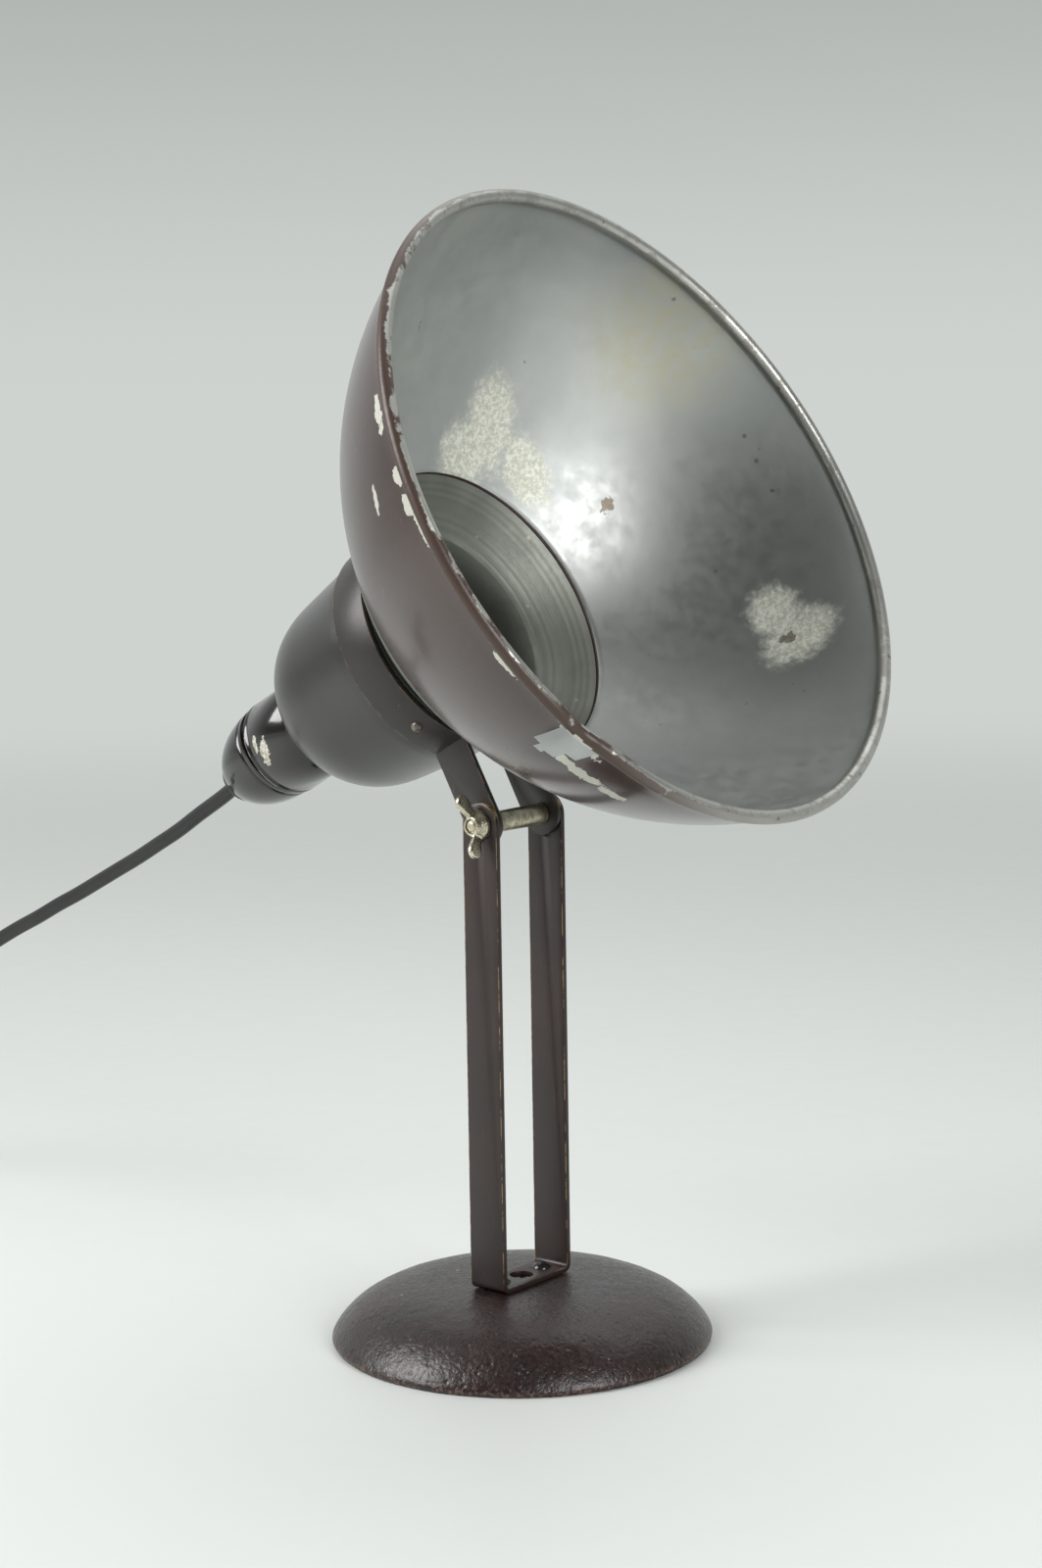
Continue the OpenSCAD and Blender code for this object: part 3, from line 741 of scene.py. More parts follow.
reflectorChips = [
    # place, half sizes, turn, raggedness: bare metal where the paint has gone
    ((-39, -114, 106), (6.5, 6, 2.2), (0, 0, 0), 0.75),
    ((-15, -114.5, 91), (5, 6, 1.3), (0, 15, 0), 0.7),
    ((-14, -121, 108.5), (4.5, 6, 2.6), (0, -15, 0), 0.9),
    ((-6, -122, 107.5), (4, 6, 2.4), (0, -10, 0), 0.9),
    ((6, -122, 109.5), (5, 6, 1.6), (0, 0, 0), 1.0),
    ((84, -88, 109), (9, 9, 4.4), (0, 0, 43), 0.8),
    ((89, -75, 93.5), (12, 9, 3.0), (0, 0, 40), 0.9),
    ((97, -63, 93), (8, 8, 2.4), (0, 0, 32), 0.9),
    ((52, -109, 109), (7, 7, 1.0), (0, 0, 25), 1.1),
]

paintedReflectionPatches = [
    # place, half sizes, turn, raggedness: painted reflections, bright mottled places painted on the bare metal inside,
    # where the metal is also rougher and less metallic
    ((-70, 30, 40), (26, 14, 17), (0, 25, 0), 0.25),
    ((-60, 18, 33), (17, 16, 15), (0, 25, 0), 0.25),
    ((-54, 46, 34), (21, 12, 11), (0, 10, 20), 0.25),
    ((47, 101, 82), (13, 16, 23), (0, -20, 0), 0.25),
    ((34, 102, 76), (15, 14, 13), (0, -20, 0), 0.25),
]


def reflectorPaint():
    material, tree, surface, coords = newMaterial("reflectorPaint", 0.24, Coat_Weight=0.35,
                                                  Coat_Roughness=0.14)
    local = headCoords(tree, coords)
    aged = ageing(tree, local, 13.0, 1300.0, 0.33)
    chips = patchMask(tree, local, reflectorChips)
    base = mixColour(tree, aged["Cloud"], srgb(50, 33, 29), srgb(60, 43, 39))
    base = mixColour(tree, times(tree, aged["Specks"], 0.4), base, srgb(130, 118, 108))
    bare = mixColour(tree, aged["Grain"], srgb(186, 184, 172), srgb(216, 214, 204))
    wire(tree, mixColour(tree, chips, base, bare), surface.inputs["Base Color"])
    wire(tree, times(tree, chips, 0.35), surface.inputs["Metallic"])
    clear = mixValue(tree, aged["Cloud"], 0.22, 0.3)
    wire(tree, mixValue(tree, chips, clear, 0.5), surface.inputs["Roughness"])
    wire(tree, mixValue(tree, chips, 0.35, 0.0), surface.inputs["Coat Weight"])
    relief = minus(tree, times(tree, aged["Grain"], 0.12), chips)
    addBump(tree, surface, relief, 0.00022, 0.9)
    return material


def reflectorMetal():
    material, tree, surface, coords = newMaterial("reflectorMetal", 0.36, 0.9)
    local = headCoords(tree, coords)
    aged = ageing(tree, local, 17.0, 420.0, 0.36)
    patches = patchMask(tree, local, paintedReflectionPatches, 0.5)
    # painted dark reflection: a broad zone of the bowl's inside is painted darker (towards 128, 129, 127), standing in
    # for the dark surroundings mirrored there
    low = ramp(tree, vectorMaths(tree, "LENGTH", mapped(tree, local, place=(0.02, 0.09, 0.06),
               scale=(0.075, 0.075, 0.075), kind="TEXTURE")), 0.5, 1.35, 1.0, 0.0)
    base = mixColour(tree, aged["Cloud"], srgb(178, 181, 180), srgb(198, 200, 197))
    base = mixColour(tree, times(tree, low, 0.75), base, srgb(128, 129, 127))
    warm = ramp(tree, vectorMaths(tree, "LENGTH", mapped(tree, local, place=(-0.078, 0.084, 0.094),
                scale=(0.034, 0.03, 0.034), kind="TEXTURE")), 0.4, 1.3, 1.0, 0.0)
    mottle = noise(tree, local, 150, 5, 0.7)
    base = mixColour(tree, times(tree, warm, ramp(tree, mottle, 0.3, 0.7, 0.1, 0.55)),
                     base, srgb(196, 188, 150))
    # painted reflections: near-white flecked patches painted on the inside, standing in for the lamps mirrored in the
    # bowl; the metal there is also rougher and less metallic
    flecks = ramp(tree, noise(tree, local, 560, 5, 0.75), 0.4, 0.62)
    bright = mixColour(tree, flecks, srgb(196, 196, 180), srgb(236, 237, 226))
    base = mixColour(tree, times(tree, patches, 0.9), base, bright)
    rust = patchMask(tree, local, [((45, 99, 79.6), (2.6, 3, 3.2), (0, 0, 0), 1.3),
                                   ((-31.6, 74.4, 43.7), (2.6, 3, 2.6), (0, 0, 0), 1.2)])
    base = mixColour(tree, times(tree, rust, 0.75), base, srgb(92, 78, 58))
    base = mixColour(tree, times(tree, aged["Specks"], 0.55), base, srgb(84, 78, 70))
    wire(tree, base, surface.inputs["Base Color"])
    dull = ramp(tree, mottle, 0.25, 0.75, 0.38, 0.52)
    wire(tree, mixValue(tree, patches, dull, 0.5), surface.inputs["Roughness"])
    wire(tree, mixValue(tree, patches, 0.9, 0.45), surface.inputs["Metallic"])
    relief = plus(tree, times(tree, mottle, 0.3), times(tree, aged["Grain"], 0.3))
    relief = plus(tree, relief, times(tree, times(tree, flecks, patches), 0.7))
    addBump(tree, surface, relief, 0.00012, 0.5)
    return material


def rimMetal():
    material, tree, surface, coords = newMaterial("rimMetal", 0.36, 0.85)
    local = headCoords(tree, coords)
    aged = ageing(tree, local, 30.0, 800.0, 0.45)
    y, z = apart(tree, local)[1:]
    radius = vectorMaths(tree, "LENGTH", vectorMaths(tree, "MULTIPLY", local, (1, 1, 0)))
    outer = ramp(tree, radius, 0.1228, 0.1246)
    behind = ramp(tree, z, 0.1139, 0.1122)
    near = ramp(tree, y, -0.02, -0.09)
    left = maths(tree, "MAXIMUM", outer, behind)
    amount = plus(tree, times(tree, noise(tree, local, 120, 5, 0.7), 0.75),
                   times(tree, noise(tree, local, 28, 2), 0.35))
    paint = ramp(tree, plus(tree, amount, times(tree, left, 0.2)), 0.56, 0.64)
    paint = times(tree, paint, plus(tree, times(tree, near, 0.6), 0.4))
    base = mixColour(tree, aged["Cloud"], srgb(158, 158, 153), srgb(192, 192, 186))
    base = mixColour(tree, times(tree, aged["Specks"], 0.6), base, srgb(84, 68, 56))
    wire(tree, mixColour(tree, paint, base, srgb(70, 54, 46)), surface.inputs["Base Color"])
    wire(tree, minus(tree, 0.85, times(tree, paint, 0.8)), surface.inputs["Metallic"])
    wire(tree, mixValue(tree, aged["Grain"], 0.28, 0.5), surface.inputs["Roughness"])
    addBump(tree, surface, plus(tree, aged["Grain"], paint), 0.00012, 0.6)
    return material


def collarAlloy():
    material, tree, surface, coords = newMaterial("collarAlloy", 0.5, 0.75)
    local = headCoords(tree, coords)
    aged = ageing(tree, local, 26.0, 500.0, 0.4)
    radius = vectorMaths(tree, "LENGTH", vectorMaths(tree, "MULTIPLY", local, (1, 1, 0)))
    rings = noise(tree, together(tree, radius, 0.0, 0.0), 520, 2)
    base = mixColour(tree, aged["Cloud"], srgb(104, 106, 100), srgb(134, 136, 128))
    base = mixColour(tree, ramp(tree, rings, 0.35, 0.65, 0.0, 0.35), base, srgb(84, 86, 80))
    base = mixColour(tree, times(tree, aged["Specks"], 0.5), base, srgb(170, 164, 140))
    wire(tree, base, surface.inputs["Base Color"])
    wire(tree, mixValue(tree, aged["Grain"], 0.4, 0.58), surface.inputs["Roughness"])
    addBump(tree, surface, plus(tree, rings, times(tree, aged["Grain"], 0.3)), 0.0003, 0.6)
    return material


def coverEnamel():
    material, tree, surface, coords = newMaterial("coverEnamel", 0.16, Coat_Weight=0.5, Coat_Roughness=0.06)
    local = headCoords(tree, coords)
    aged = ageing(tree, local, 60.0, 1200.0, 0.34)
    chips = patchMask(tree, local, [((3, -19, -85.5), (6.5, 4, 2.0), (0, 22, 0), 0.9),
                                    ((-1, -19.5, -88.5), (3.5, 4, 0.9), (0, 10, 0), 1.2)])
    z = apart(tree, local)["Z"]
    edge = times(tree, ramp(tree, z, -0.0932, -0.0938),
                 ramp(tree, noise(tree, local, 160, 4, 0.7), 0.47, 0.56))
    base = mixColour(tree, aged["Cloud"], srgb(18, 15, 13), srgb(32, 28, 25))
    base = mixColour(tree, times(tree, aged["Specks"], 0.6), base, srgb(120, 108, 92))
    gone = maths(tree, "MAXIMUM", chips, edge)
    bare = mixColour(tree, ramp(tree, aged["Grain"], 0.4, 0.6), srgb(160, 150, 132), srgb(218, 216, 206))
    wire(tree, mixColour(tree, gone, base, bare), surface.inputs["Base Color"])
    wire(tree, mixValue(tree, gone, 0.17, 0.55), surface.inputs["Roughness"])
    wire(tree, mixValue(tree, gone, 0.5, 0.0), surface.inputs["Coat Weight"])
    relief = minus(tree, times(tree, aged["Grain"], 0.08), gone)
    addBump(tree, surface, relief, 0.0002, 0.8)
    return material


def mouldedBlack(name, colour, rough, grainSize=1200.0, coat=0.0, speck=0.28):
    material, tree, surface, coords = newMaterial(name, rough, Coat_Weight=coat, Coat_Roughness=0.1)
    aged = ageing(tree, coords, 70.0, grainSize, speck)
    lighter = tuple(c + 9 for c in colour)
    base = mixColour(tree, aged["Cloud"], srgb(*colour), srgb(*lighter))
    base = mixColour(tree, times(tree, aged["Specks"], 0.35), base, srgb(92, 84, 76))
    wire(tree, base, surface.inputs["Base Color"])
    wire(tree, mixValue(tree, aged["Grain"], rough * 0.8, rough * 1.25), surface.inputs["Roughness"])
    addBump(tree, surface, aged["Grain"], 0.00006, 0.5)
    return material


def stainedMetal(name, clean, stain, rough=0.34, metal=0.9, stainAmount=0.5, size=150.0):
    material, tree, surface, coords = newMaterial(name, rough, metal)
    aged = ageing(tree, coords, size, 1300.0, 0.42)
    patches = ramp(tree, noise(tree, coords, size * 1.7, 5, 0.7), 0.45, 0.62)
    base = mixColour(tree, aged["Cloud"], srgb(*clean), srgb(*[min(255, c + 24) for c in clean]))
    base = mixColour(tree, times(tree, patches, stainAmount), base, srgb(*stain))
    base = mixColour(tree, times(tree, aged["Specks"], 0.5), base, srgb(66, 58, 46))
    wire(tree, base, surface.inputs["Base Color"])
    wire(tree, mixValue(tree, aged["Grain"], rough * 0.75, rough * 1.35), surface.inputs["Roughness"])
    wire(tree, minus(tree, metal, times(tree, patches, 0.25)), surface.inputs["Metallic"])
    addBump(tree, surface, plus(tree, aged["Grain"], times(tree, patches, 0.6)), 0.0001, 0.6)
    return material


def glazedCeramic():
    material, tree, surface, coords = newMaterial("glazedCeramic", 0.28, Coat_Weight=0.4, Coat_Roughness=0.1)
    aged = ageing(tree, coords, 60.0, 900.0, 0.4)
    base = mixColour(tree, aged["Cloud"], srgb(206, 198, 180), srgb(226, 220, 206))
    wire(tree, mixColour(tree, times(tree, aged["Specks"], 0.6), base, srgb(120, 100, 76)),
         surface.inputs["Base Color"])
    addBump(tree, surface, aged["Grain"], 0.0001, 0.4)
    return material


def cordRubber():
    # the flat cord's length runs along the U of its own map
    material, tree, surface, coords = newMaterial("cordRubber", 0.42, Coat_Weight=0.1, Coat_Roughness=0.3)
    along = newNode(tree, "ShaderNodeUVMap", uv_map="cordMap").outputs[0]
    fine = noise(tree, mapped(tree, along, scale=(900, 14, 1)), 1.0, 2)
    broad = noise(tree, coords, 45, 3)
    base = mixColour(tree, ramp(tree, broad, 0.35, 0.65), srgb(14, 15, 14), srgb(24, 25, 23))
    scuff = ramp(tree, noise(tree, coords, 330, 4, 0.7), 0.68, 0.76, 0.0, 0.25)
    wire(tree, mixColour(tree, scuff, base, srgb(92, 92, 86)), surface.inputs["Base Color"])
    wire(tree, mixValue(tree, fine, 0.36, 0.5), surface.inputs["Roughness"])
    addBump(tree, surface, fine, 0.00005, 0.5)
    return material


# The cord, from the bushing down to the table, into its coil and out to the plug
cordSet = {
    "width": 6.0,
    "thickness": 3.8,
    "exitLift": 33.0,        # degrees that the end cap points above level
    "straight": 12.0,        # how far the cord runs straight out
    "coilCentre": (-520, -40),
    "lowerHeight": 4.2,
    "upperHeight": 10.2,
    "coilRadii": (40, 22, 43),
    "lowerTurns": 3,
    "upperTurns": 3.25,
    "stepsPerTurn": 24,
}

cordDown = [(-165, 187), (-178, 179), (-190, 172.5), (-202, 166), (-214, 160), (-227, 153.5),
            (-240, 147), (-253, 141), (-266, 134.5), (-279, 128.5), (-292, 122), (-305, 115),
            (-318, 108), (-331, 101), (-344, 94), (-357, 86.5), (-370, 79), (-383, 70.5),
            (-395, 62), (-407, 53), (-419, 44), (-431, 34.5), (-443, 25.5), (-455, 17.5),
            (-468, 11), (-482, 6.5), (-497, 4.5), (-508, 4.2)]
cordOut = [(-563, -50, 10.2), (-563, -58, 9.8), (-563, -66, 8.9), (-563, -74, 7.9), (-563, -82, 7.2),
           (-563, -89, 7)]


def curvePoint(p0, p1, p2, p3, t):
    # a smooth curve through its points
    return 0.5 * ((2 * p1) + (p2 - p0) * t + (2 * p0 - 5 * p1 + 4 * p2 - p3) * t * t
                  + (3 * p1 - p0 - 3 * p2 + p3) * t * t * t)


def smoothRoute(points, steps):
    padded = [2 * points[0] - points[1]] + points + [2 * points[-1] - points[-2]]
    route = []
    for i in range(len(points) - 1):
        for k in range(steps):
            route.append(curvePoint(*padded[i:i + 4], k / steps))
    return route + [points[-1]]


def coilPoints():
    cx, cy = cordSet["coilCentre"]
    first, inner, last = cordSet["coilRadii"]
    steps = cordSet["stepsPerTurn"]
    lower, upper = int(cordSet["lowerTurns"] * steps), int(cordSet["upperTurns"] * steps)
    points = []
    for i in range(lower + upper + 1):
        angle = math.pi / 2 + fullTurn * i / steps
        if i <= lower:
            radius = lerp(first, inner, i / lower)
        else:
            radius = lerp(inner, last, (i - lower) / upper)
        climb = smoothStep((i - lower + steps * 0.3) / (steps * 0.6))
        height = lerp(cordSet["lowerHeight"], cordSet["upperHeight"], climb)
        points.append(Vector((cx + radius * math.cos(angle), cy + radius * math.sin(angle), height)))
    return points


def cordRoute():
    lift = math.radians(cordSet["exitLift"])
    back = -Vector((math.cos(lift), 0, math.sin(lift)))
    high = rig.box("cord")[1]
    half = cordSet["width"] / 2
    start = Vector((high.x / mm - half * math.sin(lift), 0, high.z / mm - half * math.cos(lift)))
    points = [start, start + back * cordSet["straight"]]
    points += [Vector((x, 0, z)) for x, z in cordDown]
    points += coilPoints()
    points += [Vector(p) for p in cordOut]
    return smoothRoute(points, 3)


def ovalSection(u, v, k, sides):
    # flat sides with round edges: u across the width, v through the thickness
    w, t = cordSet["width"] / 2, cordSet["thickness"] / 2
    angle = fullTurn * k / sides
    c, s = math.cos(angle), math.sin(angle)
    power = 0.72
    return u * (w * math.copysign(abs(c) ** power, c)) + v * (t * math.copysign(abs(s) ** power, s))


def makeCord():
    route = cordRoute()
    sides = 16
    shape = bmesh.new()
    mapLayer = shape.loops.layers.uv.new("cordMap")
    rings, lengths, run = [], [], 0.0
    for i, p in enumerate(route):
        ahead = route[min(i + 1, len(route) - 1)] - route[max(i - 1, 0)]
        ahead.normalize()
        up = Vector((0, 0, 1)) - ahead * ahead.z
        up.normalize()
        side = ahead.cross(up)
        rings.append([shape.verts.new((p + ovalSection(up, side, k, sides)) * mm) for k in range(sides)])
        run += (p - route[max(i - 1, 0)]).length * mm
        lengths.append(run)
    for i in range(len(rings) - 1):
        for k in range(sides):
            n = (k + 1) % sides
            face = shape.faces.new((rings[i][k], rings[i][n], rings[i + 1][n], rings[i + 1][k]))
            for loop, uv in zip(face.loops, ((lengths[i], k), (lengths[i], k + 1), (lengths[i + 1], k + 1),
                                             (lengths[i + 1], k))):
                loop[mapLayer].uv = (uv[0], uv[1] / sides)
    shape.faces.new(rings[0][::-1])
    shape.faces.new(rings[-1])
    bmesh.ops.recalc_face_normals(shape, faces=shape.faces)
    mesh = bpy.data.meshes.new("mainsCord")
    shape.to_mesh(mesh)
    shape.free()
    cord = bpy.data.objects.new("mainsCord", mesh)
    bpy.context.scene.collection.objects.link(cord)
    smoothBy(cord, 50)
    cord.data.materials.append(cordRubber())
    return cord, [p * mm for p in route], run


plugSet = {
    "front": (-563, -88, 7),
    "relief": 20,
    "length": 35,
    "width": 35,
    "thickness": 13.6,
    "pinRadius": 2.0,
    "pinLength": 19,
    "pinSpread": 9.3,
}


def makePlug():
    x, y, z = plugSet["front"]
    w, long = plugSet["width"] / 2, plugSet["length"]
    front = y - plugSet["relief"]
    neck = plugSet["thickness"] / 2
    outline = [(x - neck, front), (x - w + 3.5, front - 9), (x - w, front - 14), (x - w, front - long + 1.5),
               (x - w + 1.5, front - long), (x + w - 1.5, front - long), (x + w, front - long + 1.5),
               (x + w, front - 14), (x + w - 3.5, front - 9), (x + neck, front)]
    body = plate("plugBody", outline, plugSet["thickness"])
    settle(body, (0, 0, z))
    softenEdges(body, 2.4, 4, 30)
    for i in range(4):
        for s in (-1, 1):
            cutAway(body, block((18, 1.2, 1.2), (x, front - 14 - 3.4 * i, z + s * plugSet["thickness"] / 2)))
    relief = lathe("plugRelief", [(0, 0)] + [
        (lerp(3.9, 6.3, t / 12) - (0.9 if t % 2 else 0), -plugSet["relief"] * t / 12 - 0.2)
        for t in range(13)]
        + [(0, -plugSet["relief"] - 0.4)], 32, looped=False)
    settle(relief, (x, y, z), (math.radians(-90), 0, 0))
    body = joinAll([body, relief], "plugBody")
    pins = []
    for s in (-1, 1):
        radius, tip = plugSet["pinRadius"], plugSet["pinLength"]
        profile = [(0, 0), (radius + 0.9, 0), (radius + 0.9, 0.8), (radius, 1.0), (radius, tip - 1.4),
                   (radius - 0.3, tip - 0.6), (radius - 1.0, tip - 0.1), (0, tip)]
        pin = lathe("plugPin", profile, 24, looped=False)
        settle(pin, (x + s * plugSet["pinSpread"], front - long, z), (math.radians(90), 0, 0))
        pins.append(pin)
    return body, joinAll(pins, "plugPins")


def makeTie():
    # a strap round the coil's bundle, with its loose tail folded over
    low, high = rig.box("cord_tie")
    cx, cy = (low.x + high.x) / 2 / mm, (low.y + high.y) / 2 / mm
    w, top = (high.x - low.x) / 2 / mm, high.z / mm
    corner, thick = 4, 1.0
    loop = []
    for centre, start in (((w - corner, corner), -90), ((w - corner, top - corner), 0),
                          ((corner - w, top - corner), 90), ((corner - w, corner), 180)):
        loop += arc(centre, corner, start, start + 90, 5)
    line = [(cx + u, cy, v) for u, v in loop]
    tie = ribbon("cordTie", line + line[:1], (high.y - low.y) / mm - 0.6, (0, 1, 0))
    addModifier(tie, "SOLIDIFY", thickness=thick * mm, offset=-1)
    softenEdges(tie, 0.25)
    return tie


cordPiece, cordPath, cordLength = makeCord()
plugBody, plugPins = makePlug()
tiePiece = makeTie()
cordFinish = mouldedBlack("plugBlack", (24, 23, 23), 0.3, coat=0.2)
finishPiece(plugBody, "stand", "plug_black", ["plug_body"], cordFinish, 40)
finishPiece(plugPins, "stand", "pin_nickel", ["plug_pins"],
            stainedMetal("pinNickel", (196, 194, 186), (150, 138, 110), 0.22, 1.0, 0.3))
finishPiece(tiePiece, "stand", "tie_black", ["cord_tie"], mouldedBlack("tieBlack", (38, 38, 38), 0.6, 2400.0))
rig.slot(cordPiece, "cord_black")
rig.replaces(cordPiece, "cord", "cord_coil", "cord_tail")
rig.blend(cordPiece, "head", "stand", start=cordPath[3], end=Vector((-0.305, 0, 0.115)))
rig.cord(cordPiece, exit=cordPath[0], length=round(cordLength, 3), diameter=cordSet["width"] * mm,
        far_end="plug", stiffness="medium", lay="coiled", path=cordPath,
        with_pieces=[plugBody, plugPins, tiePiece])
print("cord is laid,", round(cordLength, 3), "m")


# The cast foot
footSet = {
    "edgeHeight": 2.0,
    "soleInset": 0.8,
    "roundness": 4.6,
    "crown": 1.25,
    "recessRadius": 62,
    "recessHeight": 13.5,
    "recessRoundness": 2.4,
    "bossRadius": 6.5,
    "holeRadius": 4.5,
    "lumps": 0.35,
}


def makeFoot():
    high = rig.box("base_foot")[1]
    radius, height = high.x / mm, high.z / mm
    s = footSet
    dome, recess = [], []
    for i in range(1, 41):
        a = math.radians(90) * i / 40
        dome.append((radius * math.sin(a) ** (2 / s["roundness"]),
                     s["edgeHeight"] + (height - s["edgeHeight"]) * max(0, math.cos(a)) ** (2 / s["crown"])))
    for i in range(24, 1, -1):
        a = math.radians(90) * i / 24
        r = s["recessRadius"] * math.sin(a) ** (2 / s["recessRoundness"])
        if r > s["bossRadius"] + 1:
            recess.append((r, s["recessHeight"] * max(0, math.cos(a)) ** (2 / s["recessRoundness"])))
    top = [(s["holeRadius"], height - 0.4), (s["holeRadius"] + 0.4, height)]
    top += [(r, height) for r in (8, 14, 20)]
    dome = [p for p in dome if p[0] > 23]
    sole = [(radius - 0.25, 0.7), (radius - s["soleInset"], 0), (s["recessRadius"] + 0.5, 0)]
    boss = [(s["bossRadius"], s["recessHeight"] - 0.3), (s["bossRadius"], 0.6), (s["bossRadius"] - 0.5, 0.05),
            (s["holeRadius"], 0.05)]
    foot = lathe("castFoot", top + dome + sole + recess + boss, 160)
    lumps = bpy.data.textures.new("castLumps", "CLOUDS")
    lumps.noise_scale = 0.011
    lumps.noise_depth = 3
    addModifier(foot, "DISPLACE", texture=lumps, strength=s["lumps"] * mm, mid_level=0.9,
                texture_coords="LOCAL")
    return foot


foot = finishPiece(makeFoot(), "stand", "foot_paint", ["base_foot"], castPaint(), 50)
print("foot is cast")


# The flat-strip stand
standSet = {
    "width": 16,
    "thickness": 2,
    "bend": 1.5,
    "screwSpread": 12,
    "webHole": 4.5,
    "screwHole": 2.1,
    "boltHole": 2.6,
}


def roundEnd(middle, axis, outward, radius, steps=9):
    # grows the selected end edge of a strip into a half disc; outward and axis are unit vectors
    for i in range(steps):
        a, b = math.radians(90 * i / steps), math.radians(90 * (i + 1) / steps)
        step = Vector(outward) * radius * (math.sin(b) - math.sin(a)) * mm
        bpy.ops.mesh.extrude_region_move(TRANSFORM_OT_translate={"value": step})
        shrink = max(math.cos(b), 0.02) / math.cos(a)
        scale = [1 - abs(c) * (1 - shrink) for c in axis]
        bpy.ops.transform.resize(value=scale, center_override=tuple(Vector(middle) * mm))


def selectEdge(piece, test):
    # selects the edges whose both ends pass a test on their place in millimetres
    bpy.ops.object.mode_set(mode="EDIT")
    bpy.ops.mesh.select_mode(type="EDGE")
    bpy.ops.mesh.select_all(action="DESELECT")
    shape = bmesh.from_edit_mesh(piece.data)
    for edge in shape.edges:
        edge.select = all(test(v.co / mm) for v in edge.verts)
    shape.select_flush_mode()
    bmesh.update_edit_mesh(piece.data)


def makeStand():
    s = standSet
    low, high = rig.box("stand_strap")
    y, bottom, top = high.y / mm, low.z / mm, pivot.z / mm
    half, thick = s["width"] / 2, s["thickness"]
    out = s["bend"] + thick
    line = [(0, y, top)]
    line += [(0, u, v) for u, v in arc((y - out, bottom + out), out, 0, -90, 6)]
    line += [(0, -u, v) for u, v in arc((y - out, bottom + out), out, -90, 0, 6)]
    line += [(0, -y, top)]
    strap = ribbon("standStrip", line, s["width"], (1, 0, 0))
    for side in (-1, 1):
        selectEdge(strap, lambda p, side=side: p.z > top - 0.01 and p.y * side > 0)
        roundEnd((0, side * y, top), (1, 0, 0), (0, 0, 1), half)
        bpy.ops.object.mode_set(mode="OBJECT")
    bpy.ops.object.mode_set(mode="EDIT")
    closeMesh()
    addModifier(strap, "SOLIDIFY", thickness=thick * mm, offset=-1)
    for tool in (rod(s["boltHole"], 60, (0, 0, top), (math.radians(90), 0, 0)),
                 rod(s["webHole"], 12, (0, 0, bottom + 1), sides=48),
                 rod(s["screwHole"], 12, (0, s["screwSpread"], bottom + 1)),
                 rod(s["screwHole"], 12, (0, -s["screwSpread"], bottom + 1))):
        cutAway(strap, tool)
    softenEdges(strap, 0.28, 2, 40)
    return strap


stand = finishPiece(makeStand(), "stand", "stand_paint", ["stand_strap"],
                    stripPaint("standPaint", (34, 23, 20), (46, 31, 27), standMiddle, standSide), 40)


def domeProfile(radius, height, steps=8):
    ball = (radius * radius + height * height) / (2 * height)
    edge = math.asin(min(1, radius / ball))
    return [(ball * math.sin(edge * i / steps), height - ball * (1 - math.cos(edge * i / steps)))
            for i in range(steps + 1)]


def threadProfile(radius, start, end, pitch, depth):
    # a ridge and a groove for every pitch, running down from start to end
    points, z = [], start
    while z - pitch > end:
        points += [(radius, z), (radius, z - pitch * 0.15), (radius - depth, z - pitch * 0.55)]
        z -= pitch
    return points + [(radius, z), (radius - depth, end)]


def makeStandScrews():
    low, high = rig.box("stand_screws")
    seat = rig.box("stand_strap")[0].z / mm + standSet["thickness"]
    radius = (high.x - low.x) / 2 / mm
    profile = domeProfile(radius, high.z / mm - seat)
    profile += [(radius - 0.3, -0.02), (2, -0.02), (2, -9)]
    profile += threadProfile(2, -9, low.z / mm - seat, 0.7, 0.35) + [(0, low.z / mm - seat)]
    screw = lathe("standScrews", profile, 40, looped=False)
    cutAway(screw, block((2 * radius + 1, 0.9, 1.2), (0, 0, high.z / mm - seat), (0, 0, math.radians(25))))
    softenEdges(screw, 0.12, 2, 50)
    other = copyOf(screw)
    settle(screw, (0, standSet["screwSpread"], seat))
    settle(other, (0, -standSet["screwSpread"], seat), (0, 0, math.radians(70)))
    return joinAll([screw, other], "standScrews")


finishPiece(makeStandScrews(), "stand", "dark_screw", ["stand_screws"],
            mouldedBlack("darkScrew", (28, 24, 24), 0.24, 900.0, 0.3))
print("stand is bent")


# The pivot: bolt, spacer and wing nut
pivotSet = {
    "boltRadius": 2.5,
    "headFlats": 8,
    "headHeight": 3.5,
    "threadPitch": 0.8,
    "threadDepth": 0.42,
    "wingTurn": 18,
    "wingThickness": 2.2,
    "bossFoot": 5.5,
    "bossTop": 3.6,
    "bossHeight": 4.2,
    "span": 24,
    "tipRadius": 3,
}


